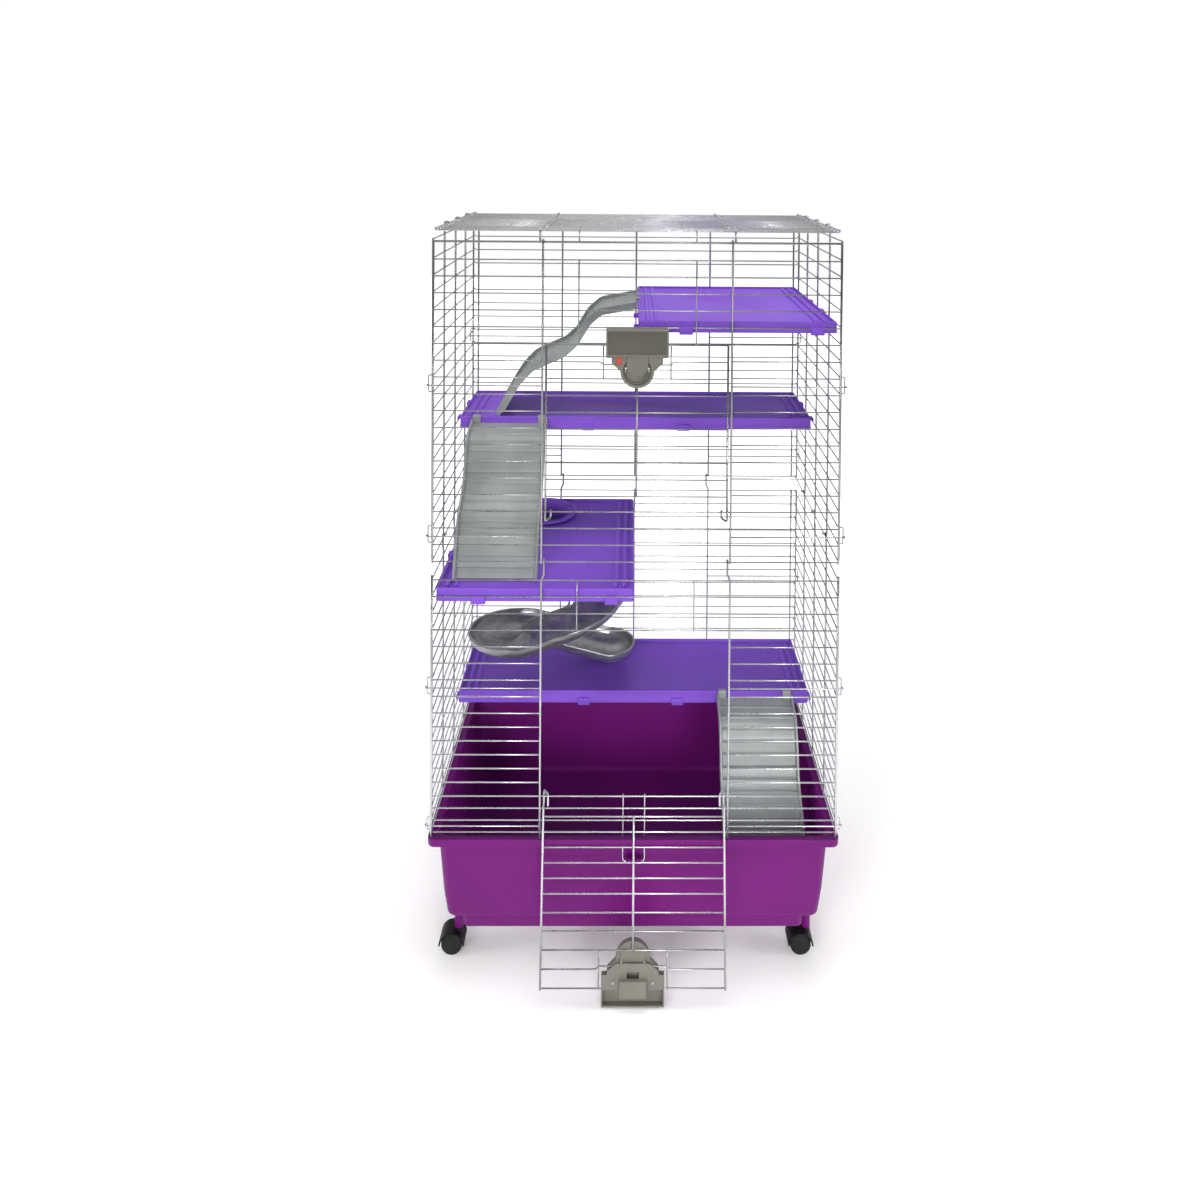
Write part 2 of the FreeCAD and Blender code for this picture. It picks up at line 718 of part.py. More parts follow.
def door_hook(x, top, hinge_z, extra):
    """A side wire of a door: down in front, round under the hinge wire with a step aside, and up behind it.

    The hook is wide enough for the hinge wire's whole track as the door drops and swings. Extra
    is how much lower the hook of the larger door reaches.
    """
    track = math.hypot(float(dim.door_pivot_reach), float(dim.door_drop) / 2)
    lean = math.atan2(float(dim.door_drop) / 2, float(dim.door_pivot_reach))
    pivot_y = -dim.cage_half_depth - dim.door_pivot_reach
    front_y = pivot_y + track * math.cos(lean - math.radians(open_angle)) - over_thin
    inner_y = pivot_y + track + over_thin
    bottom = hinge_z - dim.door_drop / 2 - track - over_thin - extra
    chamfer = dim.frame_wire / 2
    aside = x - math.copysign(float(dim.door_hook_step), float(x))
    rise = hinge_z + dim.door_hook_rise
    return bent_rod(dim.frame_wire, [
        vector(x, door_frame_y, top), vector(x, door_frame_y, rise), vector(x, front_y, rise - dim.door_hook_jog),
        vector(x, front_y, bottom + chamfer), vector(x, front_y + chamfer, bottom),
        vector(aside, inner_y - chamfer, bottom), vector(aside, inner_y, bottom + chamfer),
        vector(aside, inner_y, hinge_z + dim.door_hook_end)], ALONG_Y)


def front_door(heights, hinge, opening_top, extra):
    """A wire door: side wires that hook under the hinge wire, cross wires and the stays of the latch."""
    top = heights[opening_top]
    wires = []
    half = dim.door_half_width
    stay = dim.latch_stay_half
    for number in range(hinge + 1, opening_top + 1):
        z = heights[number]
        if number == opening_top - 1:
            low = z - dim.latch_jog
            points = [vector(-half, door_cross_y, z), vector(-stay - dim.latch_jog, door_cross_y, z),
                      vector(-stay, door_cross_y, low), vector(stay, door_cross_y, low),
                      vector(stay + dim.latch_jog, door_cross_y, z), vector(half, door_cross_y, z)]
            wires.append(bent_rod(dim.thin_wire, points, ALONG_Y))
        else:
            wires.append(level_wire(-half, half, door_cross_y, z))
    for side in (-1, 1):
        wires.append(door_hook(half * side, top + dim.thin_wire / 2, heights[hinge], extra))
        stay_y = door_cross_y + dim.thin_wire
        stay_foot = heights[opening_top - 2]
        wires.append(rod(dim.thin_wire, top - stay_foot, stay * side, stay_y, stay_foot, ALONG_Z, ALONG_Y))
    first = heights[hinge + 1]
    wires.append(rod(dim.frame_wire, heights[opening_top - 2] - first, 0, door_frame_y, first, ALONG_Z, ALONG_Y))
    return together(wires)


# Layers of a door latch, from its face towards the cage
latch_rear = door_cross_y - dim.thin_wire / 2 - dim.seat_clearance
latch_face = latch_rear - dim.plate_depth
backplate_front = door_cross_y + dim.thin_wire / 2 + dim.seat_clearance
backplate_rear = backplate_front + dim.latch_wall
block_front = backplate_rear + dim.seat_clearance
tongue_rear = -dim.cage_half_depth + dim.thin_wire + dim.hook_clearance * 2 + dim.tongue_thickness
tongue_front = tongue_rear - dim.tongue_thickness
arch_face = latch_rear - dim.arch_depth


def latch_housing(top):
    """The front case of a latch: a tray over the door's top wire, shoulders and the round grip below."""
    wall = dim.latch_wall
    high = top + dim.plate_rise
    low = top - dim.plate_fall
    half = dim.plate_half_width
    tray = span_box((-half, half), (latch_face, latch_rear), (low, high))
    arch_z = top - dim.arch_fall
    shoulder_z = top - dim.shoulder_fall
    outline = [vector(-dim.shoulder_half, arch_face, low), vector(dim.shoulder_half, arch_face, low),
               vector(dim.shoulder_half, arch_face, shoulder_z), vector(dim.arch_radius, arch_face, arch_z),
               vector(-dim.arch_radius, arch_face, arch_z), vector(-dim.shoulder_half, arch_face, shoulder_z)]
    shoulders = prism(outline, ALONG_Y, dim.arch_depth)
    arch = faceted(dim.arch_radius * 2, dim.arch_depth, 0, arch_face, arch_z, ALONG_Y, RING_SIDES)
    inner_radius = dim.arch_radius - wall * 2
    hollow = span_box((wall - half, half - wall), (latch_face + wall, latch_rear + wall), (low + wall, high - wall))
    label = span_box((dim.label_margin - half, half - dim.label_margin),
                     (latch_face - wall, latch_face + dim.label_recess),
                     (low + dim.label_margin, high - dim.label_margin))
    slot_half = dim.thumb_half + dim.thumb_gap
    slot = span_box((-slot_half, slot_half), (arch_face - wall, latch_rear + wall), (arch_z, low - wall))
    pass_slot = span_box((-slot_half, slot_half), (latch_face + wall, latch_rear + wall), (arch_z, low + wall * 2))
    well = faceted(inner_radius * 2, dim.arch_depth * 2, 0, arch_face - wall, arch_z, ALONG_Y, RING_SIDES)
    window_x = -dim.indicator_reach - dim.indicator_width / 2
    window_z = top - dim.indicator_fall - dim.indicator_height / 2
    window = box(window_x, arch_face - wall, window_z, dim.indicator_width, wall + dim.indicator_depth,
                 dim.indicator_height)
    case = cut(fuse([tray, shoulders, arch]), [hollow, label, slot, pass_slot, well, window])
    bosses = []
    screw_z = top - dim.latch_screw_fall
    for side in (-1, 1):
        bosses.append(faceted(dim.latch_screw_head, backplate_front - dim.seat_clearance - latch_face - wall,
                              dim.latch_screw_reach * side, latch_face + wall, screw_z, ALONG_Y, SMALL_SIDES))
    return fuse([case] + bosses)


def latch_backplate(top):
    """The flat plate that clamps the latch case to the door from behind."""
    ear = top - dim.ear_fall
    foot = top - dim.backplate_fall
    half = dim.plate_half_width
    y = backplate_front
    outline = [vector(-half, y, top), vector(half, y, top), vector(half, y, ear), vector(dim.shoulder_half, y, ear),
               vector(dim.shoulder_half, y, top - dim.shoulder_fall), vector(dim.arch_radius, y, foot),
               vector(-dim.arch_radius, y, foot), vector(-dim.shoulder_half, y, top - dim.shoulder_fall),
               vector(-dim.shoulder_half, y, ear), vector(-half, y, ear)]
    plate = prism(outline, ALONG_Y, dim.latch_wall)
    gap = dim.thumb_gap
    neck_high = top - dim.neck_top + gap
    neck_low = top - dim.neck_top - dim.neck_height - dim.latch_travel - gap
    window = span_box((-dim.neck_half - gap, dim.neck_half + gap),
                      (y - dim.latch_wall, y + dim.latch_wall * 2), (neck_low, neck_high))
    holes = [faceted(dim.latch_screw_shank + gap, dim.latch_wall * 3, dim.latch_screw_reach * side,
                     y - dim.latch_wall, top - dim.latch_screw_fall, ALONG_Y, SMALL_SIDES, True) for side in (-1, 1)]
    return cut(plate, [window] + holes)


def latch_slider(top):
    """The sprung slide: thumb pad in front, neck through the case, and the tongue behind the panel."""
    thumb_rear = arch_face + dim.thumb_thickness
    pad_front = arch_face + dim.label_recess
    round_z = top - dim.thumb_bottom + dim.thumb_half
    pad = span_box((-dim.thumb_half, dim.thumb_half), (pad_front, pad_front + dim.thumb_thickness),
                   (round_z, top - dim.thumb_top))
    round_end = faceted(dim.thumb_half * 2, dim.thumb_thickness, 0, pad_front, round_z, ALONG_Y, HOOD_SIDES)
    neck = span_box((-dim.neck_half, dim.neck_half), (thumb_rear - dim.latch_wall, tongue_front),
                    (top - dim.neck_top - dim.neck_height, top - dim.neck_top))
    block = span_box((-dim.tongue_half, dim.tongue_half), (block_front, tongue_rear),
                     (top - dim.thin_wire - dim.tongue_block, top - dim.thin_wire))
    tongue = span_box((-dim.tongue_half, dim.tongue_half), (tongue_front, tongue_rear),
                      (top - dim.thin_wire - dim.tongue_block, top + dim.tongue_rise))
    return fuse([pad, round_end, neck, block, tongue])


def latch_indicator(top):
    """The coloured chip beside the thumb pad."""
    gap = dim.thumb_gap / 2
    x = -dim.indicator_reach
    half = dim.indicator_width / 2 - gap
    z = top - dim.indicator_fall
    high = dim.indicator_height / 2 - gap
    return together([span_box((x - half, x + half), (arch_face + gap, arch_face + dim.indicator_depth - gap / 2),
                              (z - high, z + high))])


def latch_screws(top):
    """The two screws that hold the back plate to the case."""
    screws = []
    for side in (-1, 1):
        x = dim.latch_screw_reach * side
        z = top - dim.latch_screw_fall
        head = faceted(dim.latch_screw_head, dim.screw_head_height, x, backplate_rear, z, ALONG_Y)
        shank = faceted(dim.latch_screw_shank, backplate_rear - backplate_front + dim.thumb_gap / 2, x,
                        backplate_front - dim.thumb_gap / 2, z, ALONG_Y, SMALL_SIDES)
        screws.append(fuse([head, shank]))
    return together(screws)


def tub_section(inset, height, wall=0):
    """A level outline of the tub, drawn in from its widest outline."""
    corner = float(dim.tub_corner - wall)
    reach_x = float(tub_half_width - inset - wall) - corner
    reach_y = float(tub_half_depth - inset - wall) - corner
    points = []
    for number, (x_side, y_side) in enumerate(((1, 1), (-1, 1), (-1, -1), (1, -1))):
        for step in range(CORNER_STEPS + 1):
            turn = (number + step / CORNER_STEPS) * math.pi / 2
            points.append(Vector(reach_x * x_side + corner * math.cos(turn),
                                 reach_y * y_side + corner * math.sin(turn), float(height)))
    return bind(doc.addObject("Part::Polygon", "plan"), Nodes=points, Close=True)


def tub_shell(foot, top, wall=0):
    """A tapering body with a turned-in foot, between two heights."""
    foot_inset = dim.tub_taper + dim.tub_foot_inset
    sections = [tub_section(foot_inset, foot, wall), tub_section(dim.tub_taper, foot + dim.tub_foot_height, wall),
                tub_section(0, top, wall)]
    return bind(doc.addObject("Part::Loft", "shell"), Sections=sections, Solid=True, Ruled=True)


def raised_plan(half_x, half_y, corner, foot, height):
    """A rounded rectangle carried straight up."""
    base = rounded_plan(half_x, half_y, corner, foot)
    body = doc.addObject("Part::Extrusion", "slab")
    return bind(body, Base=base, DirMode="Normal", LengthFwd=height, Solid=True)


def base_tub():
    """The tub: tapering walls, turned-down rim with a ledge, skirt, caster sockets and clip catches."""
    wall = dim.tub_wall
    rim_foot = rim_top - dim.rim_height
    outer = tub_shell(dim.tub_base_height, ledge_top)
    rim_x = tub_half_width + dim.rim_overhang
    rim_y = tub_half_depth + dim.rim_overhang
    corner = dim.rim_corner
    lip = dim.rim_wall
    rim = raised_plan(rim_x, rim_y, corner, rim_foot, dim.rim_height)
    ledge = raised_plan(rim_x - lip, rim_y - lip, corner - lip, ledge_top, dim.rim_upstand + dim.cut_overrun)
    under = raised_plan(rim_x - wall, rim_y - wall, corner - wall, rim_foot - dim.cut_overrun,
                        dim.rim_height - dim.rim_upstand - wall + dim.cut_overrun)
    inner = tub_shell(dim.tub_base_height + wall, ledge_top + dim.cut_overrun, wall)
    foot_inset = dim.tub_taper + dim.tub_foot_inset
    skirt_x = tub_half_width - foot_inset - dim.skirt_side_inset
    skirt_y = tub_half_depth - foot_inset - dim.skirt_front_inset
    skirt_foot = dim.tub_base_height - dim.skirt_height
    skirt = raised_plan(skirt_x, skirt_y, dim.tub_corner - wall, skirt_foot, dim.skirt_height + wall / 2)
    skirt_gap = raised_plan(skirt_x - wall, skirt_y - wall, dim.tub_corner - wall * 2,
                            skirt_foot - dim.cut_overrun, dim.skirt_height + dim.cut_overrun)
    solids = [outer, cut(rim, [under, ledge]), cut(skirt, [skirt_gap])]
    bores = []
    for x_side, y_side in CORNERS:
        x = socket_x * x_side
        y = socket_y * y_side
        foot = dim.tub_base_height - dim.socket_drop
        solids.append(faceted(dim.socket_diameter, dim.socket_drop + wall / 2, x, y, foot))
        bores.append(faceted(dim.stem_diameter + dim.stem_clearance * 2, dim.socket_drop - dim.socket_floor
                             + dim.cut_overrun, x, y, foot - dim.cut_overrun, around=True))
    catch_foot = dim.bail_foot_height + dim.thin_wire / 2 + dim.hook_clearance
    for side in (-1, 1):
        near = tub_half_depth - wall * 2
        far = tub_half_depth + dim.catch_reach
        span = (near, far) if side > 0 else (-far, -near)
        solids.append(span_box((-dim.catch_half, dim.catch_half), span, (catch_foot, catch_foot + dim.catch_height)))
        slot_y = dim.cage_half_depth - bail_over
        span = (slot_y - dim.bail_slot, slot_y + dim.bail_slot)
        span = span if side > 0 else (-span[1], -span[0])
        reach = dim.bail_half + dim.bail_slot
        bores.append(span_box((-reach, reach), span, (rim_foot + dim.cut_overrun, ledge_top + dim.cut_overrun)))
    return cut(fuse(solids), [inner] + bores)


CORNERS = ((-1, -1), (1, -1), (-1, 1), (1, 1))
CORNER_NAMES = ("front_left", "front_right", "back_left", "back_right")
bail_over = dim.thin_wire + dim.hook_clearance


def rim_bails():
    """Two wire clips that hang from the lowest panels and hold under the tub's catches."""
    bails = []
    for side, wire_z in ((-1, low_heights[LOWER_HINGE]), (1, low_heights[LOWER_HINGE])):
        outward = ALONG_Y * side
        y = (dim.cage_half_depth - bail_over) * side
        left = vector(-dim.bail_half, dim.cage_half_depth * side, wire_z)
        right = vector(dim.bail_half, dim.cage_half_depth * side, wire_z)
        points = round_bend(left, bail_over, 0, math.pi, -outward, ALONG_Z)[::-1]
        foot = dim.bail_foot_height
        turn = dim.thin_wire * 2
        points += [vector(-dim.bail_half, y, foot + turn), vector(turn - dim.bail_half, y, foot),
                   vector(dim.bail_half - turn, y, foot), vector(dim.bail_half, y, foot + turn)]
        points += round_bend(right, bail_over, 0, math.pi, -outward, ALONG_Z)
        bails.append(bent_rod(dim.thin_wire, points, ALONG_Z))
    return together(bails)


# Places within a caster
wheel_z = dim.wheel_diameter / 2
socket_foot = dim.tub_base_height - dim.socket_drop
boss_top = socket_foot - dim.seat_clearance


def caster_place(number):
    """Where a caster's stem stands and where its axle lies behind it."""
    x_side, y_side = CORNERS[number]
    x = socket_x * x_side
    return x, socket_y * y_side, x - dim.wheel_trail


def caster_stem(number):
    x, y, axle_x = caster_place(number)
    top = dim.tub_base_height - dim.socket_floor - dim.seat_clearance
    return faceted(dim.stem_diameter, top - boss_top, x, y, boss_top)


def caster_hood(number):
    """The twin-wheel hood: a round fender over both wheels, a web between them and a boss for the stem."""
    x, y, axle_x = caster_place(number)
    half = dim.hood_width / 2
    inner = dim.hood_radius * 2 - dim.hood_wall * 2
    fender = faceted(dim.hood_radius * 2, dim.hood_width, axle_x, y - half, wheel_z, ALONG_Y, HOOD_SIDES)
    boss_foot = wheel_z + dim.hood_radius / 2
    boss = faceted(dim.hood_boss, boss_top - boss_foot, x, y, boss_foot)
    space = faceted(inner, dim.hood_width * 2, axle_x, y - dim.hood_width, wheel_z, ALONG_Y, HOOD_SIDES)
    reach = dim.hood_radius + dim.cut_overrun
    below = span_box((axle_x - reach, axle_x + reach), (y - dim.hood_width, y + dim.hood_width),
                     (wheel_z - reach, wheel_z))
    roof = cut(fuse([fender, boss]), [space, below])
    web_half = dim.hood_web / 2
    web = faceted(inner + dim.hood_wall, dim.hood_web, axle_x, y - web_half, wheel_z, ALONG_Y, HOOD_SIDES)
    web_below = span_box((axle_x - reach, axle_x + reach), (y - dim.hood_width, y + dim.hood_width),
                         (wheel_z - reach, wheel_z - dim.axle_diameter * WEB_FOOT_SHARE))
    web = cut(web, [web_below])
    bore = faceted(dim.axle_diameter + dim.seat_clearance, dim.hood_width, axle_x, y - half, wheel_z, ALONG_Y,
                   around=True)
    return cut(fuse([roof, web]), [bore])


def caster_axle(number):
    x, y, axle_x = caster_place(number)
    half = dim.hood_web / 2 + dim.wheel_gap + dim.wheel_width - dim.hub_recess
    return faceted(dim.axle_diameter, half * 2, axle_x, y - half, wheel_z, ALONG_Y)


def caster_wheels(number):
    """A pair of wheels with sunken hubs, one each side of the web."""
    x, y, axle_x = caster_place(number)
    near = dim.hood_web / 2 + dim.wheel_gap
    wheels = []
    for side in (-1, 1):
        start = y + near if side > 0 else y - near - dim.wheel_width
        wheel = faceted(dim.wheel_diameter, dim.wheel_width, axle_x, start, wheel_z, ALONG_Y, WHEEL_SIDES)
        hub = start + dim.wheel_width - dim.hub_recess if side > 0 else start - dim.hub_recess
        recess = faceted(dim.hub_diameter, dim.hub_recess * 2, axle_x, hub, wheel_z, ALONG_Y)
        bore = faceted(dim.axle_diameter + dim.wheel_clearance * 2, dim.wheel_width * 2, axle_x,
                       start - dim.wheel_width / 2, wheel_z, ALONG_Y, around=True)
        wheels.append(cut(wheel, [recess, bore]))
    return together(wheels)


# Places of the shelves
inner_half_x = dim.cage_half_width - dim.thin_wire / 2 - dim.shelf_side_gap
inner_half_y = dim.cage_half_depth - dim.thin_wire / 2 - dim.shelf_side_gap


def seat_wire(heights, number, seat):
    """The top of a shelf whose side tabs rest on a level side wire."""
    return heights[number] + dim.side_rise + seat


small_shelf_top = seat_wire(high_heights, 14, dim.small_shelf_seat)
upper_shelf_top = seat_wire(high_heights, 6, dim.upper_shelf_seat)
middle_shelf_top = seat_wire(low_heights, 16, dim.middle_shelf_seat)
lower_shelf_top = seat_wire(low_heights, 4, dim.lower_shelf_seat)


def shelf(x, y, top, lip, seat, front_tabs, side_seats, clips=()):
    """A moulded shelf: a floor in a rounded rim, ridges along its short ends, tabs and wire seats.

    Front tabs stand proud of the front rim. Seats reach over the level wires of the side panels.
    """
    wall = dim.shelf_wall
    rim = upright_rounded(span_box(x, y, (top - lip, top)), dim.shelf_corner)
    inside = (x[0] + wall, x[1] - wall), (y[0] + wall, y[1] - wall)
    floor_top = top - dim.shelf_lip_rise
    upper = span_box(*inside, (floor_top, top + dim.cut_overrun))
    lower = span_box(*inside, (top - lip - dim.cut_overrun, floor_top - wall))
    solids = [cut(rim, [upper, lower])]
    ridge_y = (y[0] + dim.ridge_end_gap, y[1] - dim.ridge_end_gap)
    for inset in (dim.ridge_first, dim.ridge_second):
        for start in (x[0] + inset, x[1] - inset - dim.ridge_width):
            ridge = (start, start + dim.ridge_width)
            solids.append(span_box(ridge, ridge_y, (floor_top - wall / 2, floor_top + dim.ridge_height)))
    tab_top = top - lip + dim.tab_height
    for tab_x in front_tabs:
        solids.append(span_box((tab_x, tab_x + dim.tab_width), (y[0] - dim.tab_depth, y[0] + wall / 2),
                               (top - lip, tab_top)))
    seat_z = top - seat + dim.thin_wire / 2 + dim.seat_clearance
    outer = dim.cage_half_width + dim.thin_wire / 2 + dim.seat_clearance
    reach = outer + wall
    for side, seat_y in side_seats:
        seat_span = (seat_y - dim.seat_tab_width / 2, seat_y + dim.seat_tab_width / 2)
        rim_x = x[1] - wall / 2 if side > 0 else x[0] + wall / 2
        across = (rim_x, reach) if side > 0 else (-reach, rim_x)
        solids.append(span_box(across, seat_span, (seat_z, seat_z + dim.seat_tab_thickness)))
        hook = (outer, reach) if side > 0 else (-reach, -outer)
        solids.append(span_box(hook, seat_span, (seat_z - dim.seat_tab_drop, seat_z)))
    for clip_y in clips:
        solids.append(span_box((x[0] - dim.edge_clip_reach, x[0] + wall / 2), (clip_y, clip_y + dim.edge_clip_width),
                               (top - lip, tab_top)))
    return fuse(solids)


def side_seats(sides):
    """Seats halfway between the inner uprights of the side panels."""
    return [(side, dim.side_post_gap * end / 2) for side in sides for end in (-1, 1)]


def back_seats(side):
    return [(side, dim.side_post_gap * share) for share in BACK_SEAT_SHARES]


shelf_y = (-inner_half_y, inner_half_y)
wide_x = (-inner_half_x, inner_half_x)
wide_y = (as_length(0) + dim.wide_shelf_front, inner_half_y)


def shelf_top_right():
    x = (as_length(0) + dim.centre_gap, inner_half_x)
    tabs = [x[0] + dim.small_tab_left, x[1] - dim.small_tab_right]
    return shelf(x, shelf_y, small_shelf_top, dim.small_lip, dim.small_shelf_seat, tabs, side_seats((1,)),
                 (shelf_y[0] + dim.front_clip, shelf_y[0] + dim.back_clip))


def shelf_upper_wide():
    tabs = [-dim.upper_tab_left, dim.upper_tab_right]
    return shelf(wide_x, wide_y, upper_shelf_top, dim.wide_lip, dim.upper_shelf_seat, tabs,
                 back_seats(-1) + back_seats(1))


def shelf_lower_wide():
    tabs = [-dim.lower_tab_left, dim.lower_tab_right]
    return shelf(wide_x, wide_y, lower_shelf_top, dim.wide_lip, dim.lower_shelf_seat, tabs,
                 back_seats(-1) + back_seats(1))


def shelf_middle_left():
    """The middle shelf on the left, with a round way down through it."""
    x = (-inner_half_x, -dim.centre_gap)
    tabs = [x[0] + dim.middle_tab_left, x[1] - dim.middle_tab_right]
    plain = shelf(x, shelf_y, middle_shelf_top, dim.middle_lip, dim.middle_shelf_seat, tabs, side_seats((-1,)))
    bore = faceted(dim.hole_diameter + dim.seat_clearance * 2, dim.middle_lip * 3, -hole_x, hole_y,
                   middle_shelf_top - dim.middle_lip * 2, sides=RING_SIDES, around=True)
    return cut(plain, [bore])


def hole_collar():
    """The ring round the way down: a flange on the shelf and a short tube below it."""
    outline_top = middle_shelf_top - dim.shelf_lip_rise + dim.collar_rise
    flange_foot = middle_shelf_top - dim.shelf_lip_rise + dim.seat_clearance + dim.ridge_height
    flange = faceted(dim.collar_diameter, outline_top - flange_foot + dim.collar_wall, -hole_x, hole_y,
                     flange_foot, sides=RING_SIDES)
    tube = faceted(dim.hole_diameter, dim.collar_drop, -hole_x, hole_y, flange_foot - dim.collar_drop,
                   sides=RING_SIDES)
    bore = faceted(dim.hole_diameter - dim.collar_wall * 2, dim.collar_drop * 2, -hole_x, hole_y,
                   flange_foot - dim.collar_drop - dim.cut_overrun, sides=RING_SIDES)
    return cut(fuse([flange, tube]), [bore])


def slide_rims():
    """The heights of the slide's rim at the ends of its straight and round stretches."""
    start = middle_shelf_top - dim.middle_lip - dim.slide_start_drop
    right = start - dim.slide_right_fall
    front = right - dim.slide_front_fall
    left = front - dim.slide_left_fall
    back = left - dim.slide_back_fall
    return [float(height) for height in (start, right, front, left, back)]


def slide_route():
    """The slide's centre line at rim height, with its heading: straight stretches and two half turns."""
    radius = float(dim.slide_turn_radius)
    right_x = -float(slide_turn_x)
    left_x = right_x - float(dim.slide_turn_gap)
    centre_y = float(slide_centre_y)
    start, right, front, left, back = slide_rims()
    level = float(lower_shelf_top - dim.shelf_lip_rise + dim.slide_depth + dim.seat_clearance)
    head = -float(hole_x) - float(dim.slide_half_width)
    head_fall = (start - right) * SLIDE_HEAD_SHARE
    route = [(Vector(head, centre_y + radius, start), ALONG_X),
             (Vector(right_x, centre_y + radius, start - head_fall), ALONG_X)]
    turn_start = start - head_fall
    for number in range(1, TURN_SECTIONS + 1):
        share = number / TURN_SECTIONS
        angle = math.pi / 2 - math.pi * share
        heading = Vector(math.sin(angle), -math.cos(angle), 0)
        point = Vector(right_x + radius * math.cos(angle), centre_y + radius * math.sin(angle),
                       turn_start + (right - turn_start) * share)
        route.append((point, heading))
    route.append((Vector(left_x, centre_y - radius, front), -ALONG_X))
    for number in range(1, TURN_SECTIONS + 1):
        share = number / TURN_SECTIONS
        angle = -math.pi / 2 - math.pi * share
        heading = Vector(math.sin(angle), -math.cos(angle), 0)
        point = Vector(left_x + radius * math.cos(angle), centre_y + radius * math.sin(angle),
                       front + (left - front) * share)
        route.append((point, heading))
    route.append((Vector(right_x, centre_y + radius, back), ALONG_X))
    route.append((Vector(float(dim.slide_exit_reach), centre_y + radius, level), ALONG_X))
    return route


def trough_section(point, heading):
    """The slide's cut outline: an arc of an ellipse with a rolled rim at each side."""
    across = ALONG_Z.cross(heading)
    half = float(dim.slide_half_width)
    depth = float(dim.slide_depth)
    wall = float(dim.slide_wall)
    rim = float(dim.slide_rim)

    def bow(reach, fall, turns):
        return [point + across * (reach * math.cos(turn)) - ALONG_Z * (fall * math.sin(turn)) for turn in turns]

    steps = [math.pi * number / TROUGH_STEPS for number in range(TROUGH_STEPS + 1)]
    outer = bow(half - rim, depth, steps)
    inner = bow(half - rim - wall, depth - wall, reversed(steps))
    left_rim = [point - across * half, point - across * half + ALONG_Z * rim,
                point - across * (half - rim - wall) + ALONG_Z * rim]
    right_rim = [point + across * (half - rim - wall) + ALONG_Z * rim, point + across * half + ALONG_Z * rim,
                 point + across * half]
    return outer[:-1] + left_rim + inner[:-1] + right_rim


def slide_piece(route):
    """One moulded length of the slide: flat facets between its cut outlines, closed at both ends."""
    rings = [trough_section(*station) for station in route]
    facets = [rings[0], rings[-1]]
    for ring, following in zip(rings, rings[1:]):
        for number in range(len(ring)):
            ahead = (number + 1) % len(ring)
            facets.append([ring[number], ring[ahead], following[ahead]])
            facets.append([ring[number], following[ahead], following[number]])
    shell = Part.makeShell([Part.Face(Part.makePolygon(facet + facet[:1])) for facet in facets])
    shell.sewShape()
    body = doc.addObject("Part::Feature", "trough")
    body.Shape = Part.makeSolid(shell).removeSplitter()
    return body


def slide_pieces():
    """The slide in three lengths, parted by small gaps, with pins through its laps."""
    route = slide_route()
    first = TURN_SECTIONS // 2 + 2
    second = first + TURN_SECTIONS
    gap = float(dim.seat_clearance)

    def parted(point, heading, side):
        return point + heading * (gap / 2 * side), heading

    spans = [route[:first] + [parted(*route[first], -1)],
             [parted(*route[first], 1)] + route[first + 1:second] + [parted(*route[second], -1)],
             [parted(*route[second], 1)] + route[second + 1:]]
    pins = []
    for number in (first, second):
        point, heading = route[number]
        low = point - ALONG_Z * float(dim.slide_depth + dim.pin_length + dim.pin_gap)
        pins.append(faceted(dim.pin_diameter, dim.pin_length, low.x, low.y, low.z, sides=SMALL_SIDES))
    return [slide_piece(span) for span in spans], together(pins)


def ramp_wave(run, drop):
    """Points of a ramp's floor, away from its head and down."""
    return [(float(run) * across, -float(drop) * down) for across, down in RAMP_WAVE_SHARES]


def along_wave(wave, distance):
    """The point at a distance along the wave, and the direction there."""
    for (x0, z0), (x1, z1) in zip(wave, wave[1:]):
        length = math.hypot(x1 - x0, z1 - z0)
        if distance <= length:
            share = distance / length
            return x0 + (x1 - x0) * share, z0 + (z1 - z0) * share, (x1 - x0) / length, (z1 - z0) / length
        distance -= length
    return x1, z1, (x1 - x0) / length, (z1 - z0) / length


